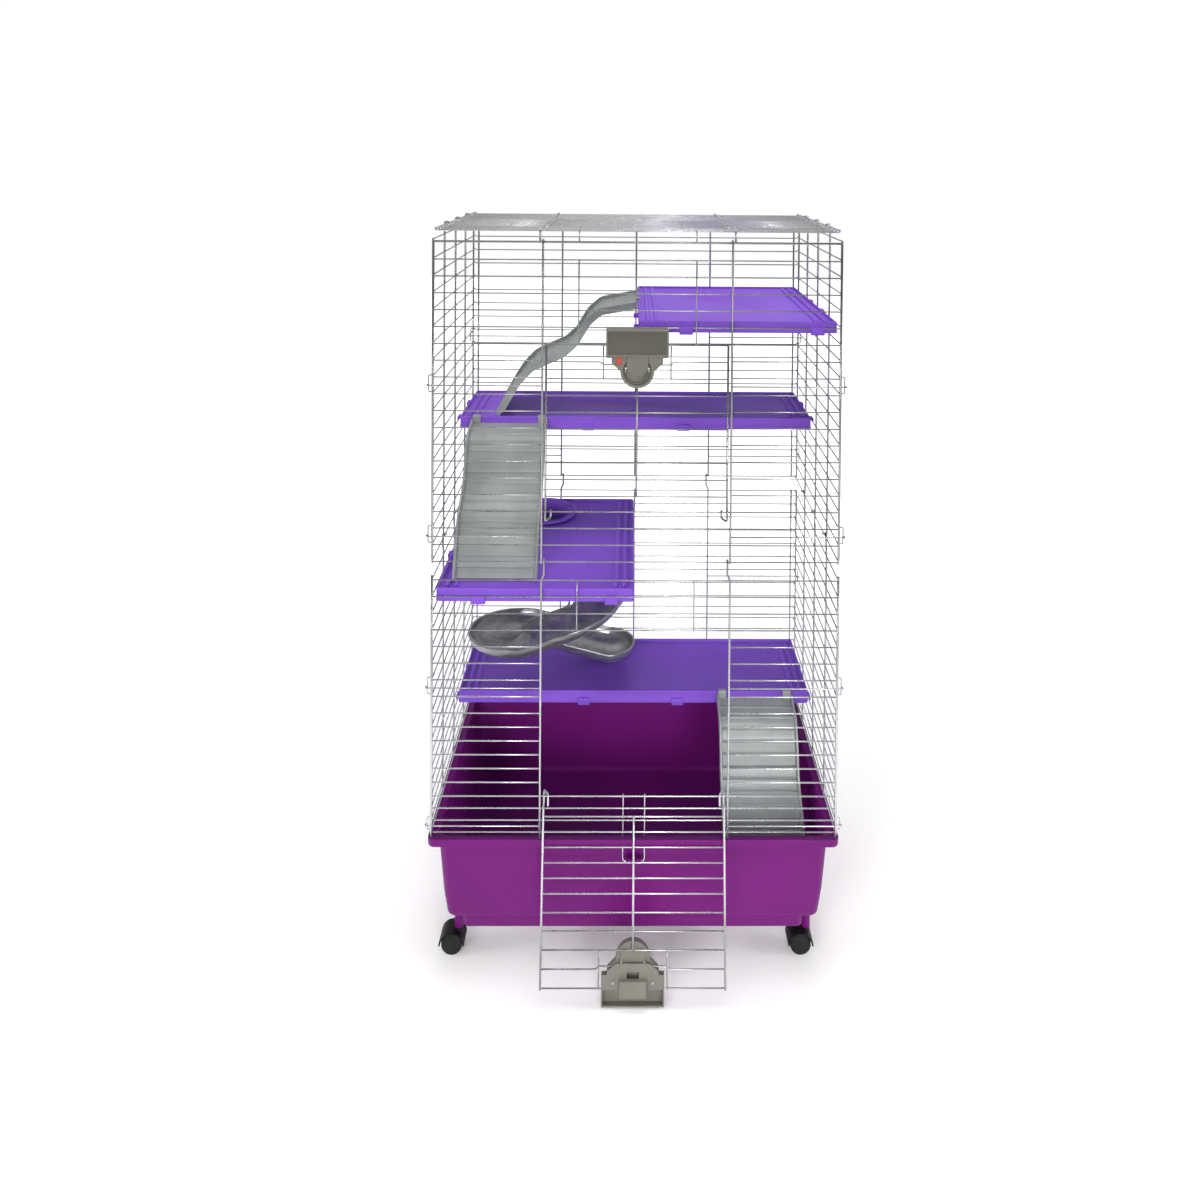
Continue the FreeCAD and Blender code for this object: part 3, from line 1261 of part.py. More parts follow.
def ramp(run, drop, hook_lip):
    """A moulded ramp along +X from its head: waved floor with cross ridges, side rails and two hooks."""
    wave = ramp_wave(run, drop)
    length = sum(math.hypot(x1 - x0, z1 - z0) for (x0, z0), (x1, z1) in zip(wave, wave[1:]))
    base = float(dim.ridge_base) / 2
    rise = float(dim.ridge_rise)
    corners = []
    travelled = 0.0
    for (x0, z0), (x1, z1) in zip(wave, wave[1:]):
        corners.append((travelled, x0, z0))
        travelled += math.hypot(x1 - x0, z1 - z0)
    corners.append((travelled, *wave[-1]))
    upper = list(corners)
    for number in range(RAMP_RIDGES):
        middle = length * (number + 1) / (RAMP_RIDGES + 1)
        upper = [corner for corner in upper if abs(corner[0] - middle) > base]
        for shift, lift in ((-base, 0), (0, rise), (base, 0)):
            x, z, dx, dz = along_wave(wave, middle + shift)
            upper.append((middle + shift, x - dz * lift, z + dx * lift))
    upper.sort()
    sag = float(dim.ramp_floor)
    width = dim.ramp_width
    half = float(width) / 2
    rail = dim.ramp_rail
    inner = half - float(rail)
    top_line = [Vector(x, -inner, z) for travelled, x, z in upper]
    low_line = [Vector(x, -inner, z - sag) for travelled, x, z in reversed(corners)]
    solids = [prism(top_line + low_line, ALONG_Y, width - rail * 2)]
    rail_top = float(dim.ramp_rail_height)
    hang = float(dim.ramp_rail_hang)
    for start in (-half, inner):
        high = [Vector(x, start, z + rail_top) for travelled, x, z in corners]
        low = [Vector(x, start, z - hang) for travelled, x, z in reversed(corners)]
        low[0] = Vector(low[0].x, start, low[0].z + hang)
        solids.append(prism(high + low, ALONG_Y, rail))
    seat = float(dim.ramp_seat_drop)
    clear = float(dim.seat_clearance)
    wall = float(dim.ramp_hook_wall)
    lip = float(hook_lip)
    face = -float(dim.ramp_gap) + clear
    back = -float(dim.ramp_gap) - lip - clear
    leg = float(dim.ramp_hook_leg)
    for start in (dim.ramp_hook_inset - width / 2, width / 2 - dim.ramp_hook_inset - dim.ramp_hook_width):
        y = float(start)
        outline = [(wall, -sag), (wall, seat + wall), (back - wall, seat + wall), (back - wall, seat - leg),
                   (back, seat - leg), (back, seat + clear), (face, seat + clear), (face, -sag)]
        solids.append(prism([Vector(x, y, z) for x, z in outline], ALONG_Y, dim.ramp_hook_width))
    return fuse(solids)


def lay_ramp(piece, x, y, z, turn):
    piece.Placement = Placement(vector(x, y, z), Rotation(ALONG_Z, turn))
    return piece


def ramps():
    """The three ramps, each hooked over the rim of the shelf that it comes down from."""
    gap = dim.ramp_gap
    seat = dim.ramp_seat_drop
    foot = dim.ramp_foot_gap + dim.ramp_floor
    small_edge = dim.centre_gap
    upper_drop = small_shelf_top - seat - (upper_shelf_top - dim.shelf_lip_rise) - foot - dim.ridge_height
    upper = lay_ramp(ramp(dim.upper_ramp_run, upper_drop, dim.shelf_wall), small_edge - gap, dim.upper_ramp_y,
                     small_shelf_top - seat, 180)
    middle_drop = upper_shelf_top - seat - (middle_shelf_top - dim.shelf_lip_rise) - foot - dim.ridge_height
    middle = lay_ramp(ramp(dim.middle_ramp_run, middle_drop, dim.shelf_wall), -middle_ramp_x,
                      dim.wide_shelf_front - gap, upper_shelf_top - seat, -90)
    lower_drop = lower_shelf_top - seat - (dim.tub_base_height + dim.tub_wall) - foot
    lower = lay_ramp(ramp(dim.lower_ramp_run, lower_drop, dim.shelf_wall), lower_ramp_x,
                     dim.wide_shelf_front - gap, lower_shelf_top - seat, -90)
    return upper, middle, lower


def cage_pieces():
    """Every sub-part of the cage by its name."""
    pieces = {"base_tub": base_tub(), "rim_bails": rim_bails()}
    pieces["front_panel_upper"] = front_upper_panel()
    pieces["front_panel_lower"] = front_lower_panel()
    high_foot = high_sill - dim.frame_wire / 2
    high_top = flange_z + dim.frame_wire / 2
    low_top = low_heights[-1] + dim.frame_wire / 2
    pieces["back_panel_upper"] = back_panel(high_heights, (0,), UPPER_HOOKED, high_foot, high_top, flange_z,
                                            over_frame, 0)
    pieces["back_panel_lower"] = back_panel(low_heights, (LOWER_HINGE,), LOWER_HOOKED, panel_foot, low_top,
                                            high_sill, over_thin, dim.kink_shift)
    for name, side in (("left", -1), ("right", 1)):
        pieces[name + "_panel_upper"] = side_panel(side, high_heights, UPPER_HOOKED, high_foot + dim.side_rise,
                                                   high_top + dim.side_rise, roof_z, over_frame, 0,
                                                   flange_z + dim.frame_wire / 2)
        pieces[name + "_panel_lower"] = side_panel(side, low_heights, LOWER_HOOKED, panel_foot,
                                                   low_top + dim.side_rise, high_sill + dim.side_rise, over_thin,
                                                   dim.kink_shift)
    pieces["roof_panel"] = roof_panel()
    pieces["roof_door"] = roof_door()
    doors = (("upper", high_heights, UPPER_HINGE, UPPER_OPENING_TOP, as_length(0), False),
             ("lower", low_heights, LOWER_HINGE, LOWER_OPENING_TOP, dim.long_hook_extra, True))
    for name, heights, hinge, opening_top, extra, is_open in doors:
        top = heights[opening_top]
        door = {
            name + "_door": front_door(heights, hinge, opening_top, extra),
            name + "_latch_housing": latch_housing(top),
            name + "_latch_backplate": latch_backplate(top),
            name + "_latch_slider": latch_slider(top),
            name + "_latch_indicator": latch_indicator(top),
            name + "_latch_screws": latch_screws(top),
        }
        if is_open:
            for piece in door.values():
                swing_open(piece, door_pivot(heights, hinge))
        pieces.update(door)
    pieces["shelf_top_right"] = shelf_top_right()
    pieces["shelf_upper_wide"] = shelf_upper_wide()
    pieces["shelf_middle_left"] = shelf_middle_left()
    pieces["shelf_lower_wide"] = shelf_lower_wide()
    pieces["hole_collar"] = hole_collar()
    (pieces["slide_top"], pieces["slide_middle"], pieces["slide_exit"]), pieces["slide_pins"] = slide_pieces()
    pieces["ramp_upper"], pieces["ramp_middle"], pieces["ramp_lower"] = ramps()
    for number, corner in enumerate(CORNER_NAMES):
        pieces["caster_stem_" + corner] = caster_stem(number)
        pieces["caster_hood_" + corner] = caster_hood(number)
        pieces["caster_axle_" + corner] = caster_axle(number)
        pieces["caster_wheels_" + corner] = caster_wheels(number)
    return pieces


def check(pieces):
    """Stop before anything is written if an object failed or a shape isn't sound."""
    faults = [thing.Name for thing in doc.Objects if {"Invalid", "Error"} & set(thing.State)]
    for name, piece in pieces.items():
        if piece.Shape.isNull() or not piece.Shape.isValid() or not piece.Shape.Solids:
            faults.append(name)
    if faults:
        raise RuntimeError("failed: " + ", ".join(faults))


def write(pieces):
    os.makedirs("parts", exist_ok=True)
    for name, piece in pieces.items():
        piece.Label = name
        piece.Shape.exportStep("parts/%s.step" % name)


cage = cage_pieces()
doc.recompute()
check(cage)
write(cage)
print("%d sub-parts, %d solids" % (len(cage), sum(len(piece.Shape.Solids) for piece in cage.values())))
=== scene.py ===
import math

import bmesh
import bpy
import numpy as np
from bpy.props import FloatProperty, FloatVectorProperty, IntProperty, PointerProperty
from mathutils import Matrix, Vector


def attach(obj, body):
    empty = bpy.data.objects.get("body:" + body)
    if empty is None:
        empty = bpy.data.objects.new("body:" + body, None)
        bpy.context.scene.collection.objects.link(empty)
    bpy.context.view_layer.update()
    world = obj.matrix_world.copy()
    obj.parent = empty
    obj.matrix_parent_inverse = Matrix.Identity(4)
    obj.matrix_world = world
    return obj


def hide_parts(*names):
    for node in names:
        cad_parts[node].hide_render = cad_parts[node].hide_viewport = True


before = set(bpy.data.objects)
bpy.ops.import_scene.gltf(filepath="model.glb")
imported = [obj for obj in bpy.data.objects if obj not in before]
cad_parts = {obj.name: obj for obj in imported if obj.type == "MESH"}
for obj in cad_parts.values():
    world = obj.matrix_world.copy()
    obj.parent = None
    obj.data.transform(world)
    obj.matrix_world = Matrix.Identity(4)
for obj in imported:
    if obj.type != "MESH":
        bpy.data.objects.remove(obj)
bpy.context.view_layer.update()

bl_info = {
    "name": "Multi-level cage",
    "version": (1, 0, 0),
    "blender": (4, 5, 0),
    "location": "View3D > Sidebar > Cage",
    "description": "Wires, tub, shelves, slide, ramps, latches and casters of a tall small-animal cage",
    "category": "Add Mesh",
}

# Everything below is in millimetres until a mesh is made
MM = 0.001
X, Y, Z = np.eye(3)
SIDES = (-1, 1)

# Wires and the layout of the cage
THIN, HEAVY = 2.5, 4.0
HALF_X, HALF_Y = 374.0, 221.0
OPENING, BRACE = 174.0, 108.0
POST_GAP = (THIN + HEAVY) / 2
HOOK_GAP = 0.35
OVER_THIN = POST_GAP + HOOK_GAP
STAPLE_BEND = THIN + HOOK_GAP * 2
OVER_HEAVY = HEAVY + HOOK_GAP
POST_X, POST_Y = HALF_X + POST_GAP, HALF_Y + POST_GAP
TUB_X, TUB_Y = 366.5, 217.0
TUB_FOOT, RIM_TOP, LEDGE = 106.0, 277.0, 273.7
PANEL_FOOT = LEDGE + 0.3
PITCH = 31
LOW = [284.2 + 22.5 * step for step in range(4)]
LOW += [LOW[3] + PITCH * 5 / 6 * step for step in range(1, 7)]
LOW += [LOW[9] + PITCH * step for step in range(1, 9)]
HIGH = [LOW[-1] + 34.3 + PITCH * step for step in range(19)]
FLANGE_Z = HIGH[-1] + 32.7
ROOF_Z = FLANGE_Z + 23.3
ROOF_CROSS_Z = ROOF_Z - POST_GAP
FLANGE_Y, ROOF_X = POST_Y - OVER_HEAVY, POST_X - OVER_HEAVY
SIDE_REACH = HALF_Y - THIN / 2 - HOOK_GAP
SIDE_RISE, SIDE_STEP, SIDE_POST = 3.0, 110.5, 213.0
ROOF_BAR, ROOF_DOOR = 180.0, 172.0
ROOF_ROWS, ROOF_FRONT, ROOF_HINGE, ROOF_LIP = 18, 3, 11, 3.4
BACK_POST, BACK_HOOK = 367.0, 172.0
STAPLE_X = 383.5
KINK, KINK_HEIGHT = 4.8, 10.0

# The front doors, drawn shut: wire of the hinge, first and last cross wire, and how low the hook hangs
DOOR_HALF, DOOR_DROP, DOOR_PIVOT, DOOR_SWING = 167.0, 9.0, 3.16, math.radians(171)
DOOR_FRAME_Y = -HALF_Y - OVER_THIN
DOOR_CROSS_Y = DOOR_FRAME_Y - POST_GAP
DOORS = {"upper": (HIGH, 3, 13, 0.0), "lower": (LOW, 3, 14, 4.8)}
LATCH_STAY, LATCH_JOG = 62.0, 5.0
LATCH_FACE = DOOR_CROSS_Y - THIN / 2 - 0.3 - 14

# Shelves: plan, height of the top, depth of the lip
SHELF_SIDE = HALF_X - THIN / 2 - 3
SHELF_DEEP = HALF_Y - THIN / 2 - 3
SHELVES = {
    "shelf_top_right": ((2.0, SHELF_SIDE), (-SHELF_DEEP, SHELF_DEEP), HIGH[14] + 11.5, 21.0, 8.5, (1,)),
    "shelf_upper_wide": ((-SHELF_SIDE, SHELF_SIDE), (11.0, SHELF_DEEP), HIGH[6] + 13.8, 25.0, 10.8, SIDES),
    "shelf_middle_left": ((-SHELF_SIDE, -2.0), (-SHELF_DEEP, SHELF_DEEP), LOW[16] + 13.0, 24.0, 10.0, (-1,)),
    "shelf_lower_wide": ((-SHELF_SIDE, SHELF_SIDE), (11.0, SHELF_DEEP), LOW[4] + 30.2, 25.0, 27.2, SIDES),
}
SHELF_SINK, SHELF_WALL = 5.0, 2.5
HOLE = (-202.0, 142.0, 58.0)
SLIDE_HALF, SLIDE_DEPTH, SLIDE_WALL, SLIDE_END = 60.0, 36.0, 2.5, 3.0
HEAD_STEPS, TURN_STEPS, LINK_STEPS = 28, 70, 20
SLIDE_PARTS = (HEAD_STEPS + TURN_STEPS * 4 // 7, HEAD_STEPS + TURN_STEPS + LINK_STEPS + TURN_STEPS * 3 // 7)
ARC_STEPS, ROLL_STEPS = 19, 9

CASTER_X, CASTER_Y = 336.0, 148.5
CORNERS = {"front_left": (-1, -1), "front_right": (1, -1), "back_left": (-1, 1), "back_right": (1, 1)}


class CageSizes(bpy.types.PropertyGroup):
    """Fine sizes of the dressed cage"""

    wire_sides: IntProperty(name="Wire sides", description="Faces round a wire", default=12, min=6, max=32)
    weld: FloatProperty(name="Weld", description="Half width of the weld where wires cross", default=0.0016,
                        unit="LENGTH")
    bend: FloatProperty(name="Wire bend", description="Radius at the corners of a bent wire", default=0.0045,
                        unit="LENGTH")
    softness: FloatProperty(name="Edge softness", description="Width of the rounding on moulded edges",
                            default=0.0008, unit="LENGTH")
    rim_roll: FloatProperty(name="Slide rim", description="Radius of the rolled rim of the slide", default=0.003,
                            unit="LENGTH")


def colour_property(name, default):
    return FloatVectorProperty(name=name, description="Base colour of the finish", default=default, size=3,
                               subtype="COLOR", min=0, max=1)


class CageColours(bpy.types.PropertyGroup):
    """Base colours of the finishes"""

    wire: colour_property("Wire", (0.46, 0.462, 0.465))
    tub: colour_property("Tub", (0.138, 0.0075, 0.143))
    shelf: colour_property("Shelf", (0.190, 0.078, 0.50))
    slide: colour_property("Slide", (0.36, 0.365, 0.37))
    ramp: colour_property("Ramp", (0.285, 0.305, 0.300))
    latch: colour_property("Latch", (0.165, 0.160, 0.132))
    signal: colour_property("Lock signal", (0.62, 0.04, 0.025))
    caster: colour_property("Caster", (0.007, 0.0065, 0.007))
    steel: colour_property("Steel", (0.42, 0.42, 0.43))
    floor: colour_property("Floor", (0.88, 0.875, 0.87))


class Skin:
    """Grids of points gathered into one mesh."""

    def __init__(self):
        self.points, self.faces, self.count = [], [], 0

    def add(self, grid, wrap=True, caps=(True, True)):
        """Join the rows of a grid by quads. A row closes on itself if wrap, and caps fill the end rows."""
        rows, columns = grid.shape[:2]
        index = np.arange(rows * columns).reshape(rows, columns) + self.count
        ahead = np.roll(index, -1, axis=1) if wrap else index[:, 1:]
        here = index if wrap else index[:, :-1]
        quads = np.stack([here[:-1], ahead[:-1], ahead[1:], here[1:]], axis=-1)
        self.faces += quads.reshape(-1, 4).tolist()
        if caps[0]:
            self.faces.append(index[0][::-1].tolist())
        if caps[1]:
            self.faces.append(index[-1].tolist())
        self.points.append(grid.reshape(-1, 3))
        self.count += rows * columns
        return self

    def turned(self, matrix):
        """The same skin after a turn or move of its points."""
        place = np.array(matrix)
        self.points = [part @ place[:3, :3].T + place[:3, 3] for part in self.points]
        return self

    def piece(self, name, finish, sharp=38, merge=False):
        """Make the object, in metres, with its normals pointing outwards, and its seams joined if merge."""
        mesh = bpy.data.meshes.new(name)
        mesh.from_pydata(np.concatenate(self.points) * MM, [], self.faces)
        work = bmesh.new()
        work.from_mesh(mesh)
        if merge:
            bmesh.ops.remove_doubles(work, verts=work.verts, dist=2e-6)
        bmesh.ops.recalc_face_normals(work, faces=work.faces)
        work.to_mesh(mesh)
        work.free()
        return dress(bpy.data.objects.new(name, mesh), finish, sharp)


def dress(piece, finish, sharp=38):
    """Give an object its finish and smooth shading that breaks at sharp edges."""
    if not piece.users_collection:
        bpy.context.scene.collection.objects.link(piece)
    piece.data.materials.clear()
    piece.data.materials.append(finish)
    piece.data.shade_smooth()
    piece.data.set_sharp_from_angle(angle=math.radians(sharp))
    return piece


def settle(piece, body, slot, *nodes):
    """Let a piece ride on a body and stand for its CAD nodes."""
    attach(piece, body)
    if nodes:
        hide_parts(*nodes)
    return piece


def unit(rows):
    return rows / np.linalg.norm(rows, axis=-1, keepdims=True)


def arc(centre, radius, start, end, first, second, steps=12):
    """centre + radius (cos t first + sin t second), for t from start to end."""
    t = np.linspace(start, end, steps)[:, None]
    return np.asarray(centre) + radius * (np.cos(t) * first + np.sin(t) * second)


def rounded(points, bend, steps=6):
    """Straight runs with arcs at their corners.

    An arc meets its two runs at bend times the tangent of half the turn from the corner, and its
    points are the circle's through those two, turned evenly from one to the other.
    """
    points = [np.asarray(point, float) for point in points]
    path = [points[0][None]]
    for before, corner, after in zip(points, points[1:], points[2:]):
        back, ahead = unit(before - corner), unit(after - corner)
        half = (math.pi - math.acos(float(np.clip(back @ ahead, -1, 1)))) / 2
        if half < 0.02:
            path.append(corner[None])
            continue
        room = 0.48 * min(np.linalg.norm(before - corner), np.linalg.norm(after - corner))
        reach = min(bend * math.tan(half), room)
        radius = reach / math.tan(half)
        centre = corner + unit(back + ahead) * radius / math.cos(half)
        start = unit(corner + back * reach - centre)
        across = unit(ahead - back - ((ahead - back) @ start) * start)
        path.append(arc(centre, radius, 0, half * 2, start, across, steps))
    path.append(points[-1][None])
    return np.concatenate(path)


def tube(path, radius, flat, sides, blunt=0.35):
    """A circle carried along a path, square to its direction, with slightly blunted ends.

    Ring: point + radius (cos t side + sin t up), where side is the direction crossed with flat,
    and up is square to both.
    """
    path = np.asarray(path, float)
    first, last = unit(path[1] - path[0]), unit(path[-2] - path[-1])
    path = np.concatenate([path[:1], path[:1] + first * radius * blunt, path[1:-1],
                           path[-1:] + last * radius * blunt, path[-1:]])
    radii = np.full(len(path), radius)
    radii[[0, -1]] *= 1 - blunt
    runs = unit(np.diff(path, axis=0))
    along = unit(np.concatenate([runs[:1], runs[:-1] + runs[1:], runs[-1:]]))
    side = unit(np.cross(along, flat))
    up = np.cross(side, along)
    turn = np.linspace(0, math.tau, sides, endpoint=False)[None, :, None]
    return path[:, None] + radii[:, None, None] * (np.cos(turn) * side[:, None] + np.sin(turn) * up[:, None])


def bead(centre, radii, rings=4, sides=8):
    """An ellipsoid: centre + radii (sin p cos t, sin p sin t, cos p), with small flat poles."""
    p = np.linspace(0.25, math.pi - 0.25, rings)[:, None]
    t = np.linspace(0, math.tau, sides, endpoint=False)[None]
    shape = np.stack([np.sin(p) * np.cos(t), np.sin(p) * np.sin(t), np.cos(p) + 0 * t], axis=-1)
    return np.asarray(centre) + shape * np.asarray(radii)


def outline(half_x, half_y, corner, arc_steps=8, side_steps=2):
    """A rectangle with round corners, point by point: quarter circles joined by straight sides."""
    corner = max(corner, 0.05)
    angles = np.linspace(0, math.pi / 2, arc_steps)
    loops = []
    for number, (sx, sy) in enumerate(((1, 1), (-1, 1), (-1, -1), (1, -1))):
        t = angles + number * math.pi / 2
        loops.append(np.stack([sx * (half_x - corner) + corner * np.cos(t),
                               sy * (half_y - corner) + corner * np.sin(t)], axis=-1))
    rows = []
    for loop, following in zip(loops, loops[1:] + loops[:1]):
        share = np.linspace(0, 1, side_steps + 2)[1:-1, None]
        rows += [loop, loop[-1] * (1 - share) + following[0] * share]
    return np.concatenate(rows)


def lifted(loop, height):
    """The points of a plan at one height."""
    return np.concatenate([loop, np.full((len(loop), 1), height)], axis=1)


def bowl(centre, half_x, half_y, corner, profile, side_steps=2):
    """A profile carried round a rounded rectangle: each (inset, height) draws the outline in and lifts it."""
    rows = []
    for inset, height in profile:
        loop = outline(half_x - inset, half_y - inset, corner - inset, side_steps=side_steps)
        rows.append(lifted(loop + centre, height))
    return np.array(rows)


def plan(x, y):
    """The middle of a span in X and one in Y, and their half widths."""
    return ((x[0] + x[1]) / 2, (y[0] + y[1]) / 2), (x[1] - x[0]) / 2, (y[1] - y[0]) / 2


def slab(x, y, z, soft=0.8):
    """A block with rounded upright edges and softened rims."""
    centre, half_x, half_y = plan(x, y)
    soft = min(soft, half_x * 0.9, half_y * 0.9, (z[1] - z[0]) * 0.45)
    cut = soft * (1 - math.sqrt(0.5))
    profile = [(soft, z[0]), (cut, z[0] + cut), (0, z[0] + soft), (0, z[1] - soft), (cut, z[1] - cut), (soft, z[1])]
    return bowl(centre, half_x, half_y, soft * 1.6, profile, 1)


def spun(centre, profile, sides=40):
    """A profile of (radius, offset) turned about a line along Y: x = r cos t, z = r sin t, y = offset."""
    t = np.linspace(0, math.tau, sides, endpoint=False)[None]
    radius, offset = (np.array(column)[:, None] for column in zip(*profile))
    shape = np.stack([radius * np.cos(t), offset + 0 * t, radius * np.sin(t)], axis=-1)
    return np.asarray(centre) + shape


def upright_spun(centre, profile, sides=64):
    """A profile of (radius, height) turned about an upright line: x = r cos t, y = r sin t, z = height."""
    return spun((0, 0, 0), profile, sides)[..., [0, 2, 1]] + np.asarray(centre)


def softened(node, paint, width, segments=2):
    """A copy of a CAD solid with its flat faces merged and its edges rounded."""
    piece = bpy.data.objects.new("soft_" + node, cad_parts[node].data.copy())
    bpy.context.scene.collection.objects.link(piece)
    work = bmesh.new()
    work.from_mesh(piece.data)
    bmesh.ops.remove_doubles(work, verts=work.verts, dist=1e-5)
    bmesh.ops.dissolve_limit(work, angle_limit=math.radians(1), verts=work.verts, edges=work.edges)
    work.to_mesh(piece.data)
    work.free()
    dress(piece, paint, 30)
    bevel = piece.modifiers.new("edges", "BEVEL")
    bevel.width, bevel.segments, bevel.limit_method = width, segments, "ANGLE"
    bevel.angle_limit = math.radians(32)
    bevel.harden_normals = False
    return piece


class Value:
    """A socket that adds Math nodes when it is used in a sum."""

    def __init__(self, nodes, socket):
        self.nodes, self.socket = nodes, socket

    def math(self, operation, other):
        return self.nodes.node("ShaderNodeMath", {"operation": operation}, {0: self, 1: other})

    def __add__(self, other):
        return self.math("ADD", other)

    def __sub__(self, other):
        return self.math("SUBTRACT", other)

    def __mul__(self, other):
        return self.math("MULTIPLY", other)

    __radd__ = __add__


class Nodes:
    """Adds nodes to a tree and links them."""

    def __init__(self, tree):
        self.tree = tree

    def node(self, kind, settings=None, inputs=None, output=0):
        made = self.tree.nodes.new(kind)
        for key, value in (settings or {}).items():
            setattr(made, key, value)
        for key, value in (inputs or {}).items():
            self.join(made.inputs[key], value)
        return Value(self, made.outputs[output])

    def join(self, socket, value):
        if isinstance(value, Value):
            self.tree.links.new(value.socket, socket)
        elif hasattr(value, "__len__") and len(value) == 3 and socket.type == "RGBA":
            socket.default_value = (*value, 1)
        else:
            socket.default_value = value

    def between(self, value, low, high, first=0.0, last=1.0):
        """first below low, last above high and a smooth change between."""
        return self.node("ShaderNodeMapRange", {"interpolation_type": "SMOOTHSTEP"}, {
            "Value": value, "From Min": low, "From Max": high, "To Min": first, "To Max": last})

    def part(self, vector, axis):
        return self.node("ShaderNodeSeparateXYZ", None, {0: vector}, axis)


class Finish(Nodes):
    """A material's nodes, gathered round one Principled shader."""

    def __init__(self, name, **constants):
        self.material = bpy.data.materials.new(name)
        self.material.use_nodes = True
        super().__init__(self.material.node_tree)
        self.shader = self.tree.nodes["Principled BSDF"]
        self.place = self.node("ShaderNodeTexCoord", output="Object")
        self.set(**constants)

    def stretched(self, scale):
        return self.node("ShaderNodeMapping", None, {"Vector": self.place, "Scale": scale})

    def noise(self, scale, detail=3, rough=0.55, place=None):
        return self.node("ShaderNodeTexNoise", None, {
            "Vector": place or self.place, "Scale": scale, "Detail": detail, "Roughness": rough})

    def blend(self, share, first, second):
        return self.node("ShaderNodeMix", {"data_type": "RGBA"}, {0: share, 6: first, 7: second}, 2)

    def tones(self, share, colour, dark, light):
        """A colour that goes from its dark shade to its light one."""
        return self.blend(share, shade(colour, dark), shade(colour, light))

    def bump(self, height, distance, strength=0.4):
        self.set(Normal=self.node("ShaderNodeBump", None, {
            "Height": height, "Distance": distance, "Strength": strength}))
        return self

    def set(self, **sockets):
        for socket, value in sockets.items():
            self.join(self.shader.inputs[socket.replace("_", " ")], value)
        return self


def shade(colour, factor):
    return tuple(min(1.0, part * factor) for part in colour)


FINISHES = {}


def finish(maker):
    """The material that a maker gives, named after it and made once."""
    name = maker.__name__
    if name not in FINISHES:
        FINISHES[name] = maker(name, bpy.context.scene.cage_colours).material
    return FINISHES[name]


def coated_wire(name, colours):
    """Grey coating over drawn wire: slow changes of tone, faint die lines, paler low down and on the roof."""
    made = Finish(name, IOR=1.5)
    slow = made.noise(9, 2)
    fine = made.noise(420, 2)
    height = made.part(made.place, "Z")
    # Painted highlight: wires from 0.1 m to 0.8 m up, and on the roof, are drawn 1.75 times paler, standing in for
    # lamp light shining on them.
    painted_highlight = made.between(height, 0.1, 0.2) - made.between(height, 0.32, 0.8) + made.between(height, 1.38, 1.395)
    tone = made.blend(painted_highlight, made.tones(made.between(slow, 0.35, 0.7), colours.wire, 0.86, 1.14),
                      shade(colours.wire, 1.75))
    speck = made.between(fine, 0.62, 0.74)
    made.set(Base_Color=made.blend(speck * 0.25, tone, shade(colours.wire, 0.6)), Metallic=0.9,
             Roughness=0.20 + slow * 0.10 + fine * 0.05)
    return made.bump(fine, 0.00004, 0.5)


def weld_metal(name, colours):
    """Darker, rougher metal where wires are welded."""
    made = Finish(name)
    patch = made.noise(600, 3)
    made.set(Base_Color=made.tones(patch, colours.wire, 0.55, 0.95), Metallic=0.5, Roughness=0.42 + patch * 0.2)
    return made.bump(patch, 0.0001, 0.6)


def moulded(made, colour, scale, spread, rough, grain):
    """Moulded plastic: cloudy tone, fine grain, and faint scuffs drawn along X."""
    cloud = made.noise(scale, 4)
    fine = made.noise(900, 2)
    scuff = made.between(made.noise(30, 5, 0.65, made.stretched((1, 9, 9))), 0.60, 0.74)
    tone = made.tones(made.between(cloud, 0.3, 0.7), colour, 1 - spread, 1 + spread)
    made.set(Base_Color=made.blend(scuff * 0.16, tone, shade(colour, 1.7)),
             Roughness=rough + cloud * 0.10 + scuff * 0.12 + fine * 0.05)
    return made.bump(fine * 0.6 + cloud * 2.0, grain, 0.35)


def tub_plastic(name, colours):
    return moulded(Finish(name, IOR=1.5, Specular_IOR_Level=0.16), colours.tub, 3.2, 0.10, 0.34, 0.00012)


def shelf_plastic(name, colours):
    return moulded(Finish(name, IOR=1.49, Specular_IOR_Level=0.1), colours.shelf, 5, 0.09, 0.40, 0.0001)


def latch_plastic(name, colours):
    return moulded(Finish(name, IOR=1.48), colours.latch, 22, 0.07, 0.40, 0.00008)


# Painted shade: the sunken panel of the latch case is the latch colour darkened, for the shade in its recess.
def latch_panel(name, colours):
    made = Finish(name, IOR=1.48, Specular_IOR_Level=0.3)
    return moulded(made, shade(colours.latch, 0.62), 30, 0.05, 0.45, 0.0001)


def signal_plastic(name, colours):
    return moulded(Finish(name, IOR=1.5), colours.signal, 60, 0.08, 0.30, 0.00005)


def caster_plastic(name, colours):
    return moulded(Finish(name, IOR=1.46, Specular_IOR_Level=0.3), colours.caster, 40, 0.2, 0.34, 0.00008)


def slide_plastic(name, colours):
    """Dark metallic plastic with pale flow streaks."""
    made = Finish(name, IOR=1.5)
    streak = made.noise(18, 4, 0.6, made.stretched((1, 1, 6)))
    fleck = made.noise(1500, 1)
    tone = made.tones(made.between(streak, 0.35, 0.72), colours.slide, 0.78, 1.35)
    made.set(Base_Color=made.blend(made.between(fleck, 0.6, 0.8) * 0.3, tone, shade(colours.slide, 2.2)),
             Metallic=0.8, Roughness=0.24 + streak * 0.10)
    return made.bump(fleck + streak, 0.00006)


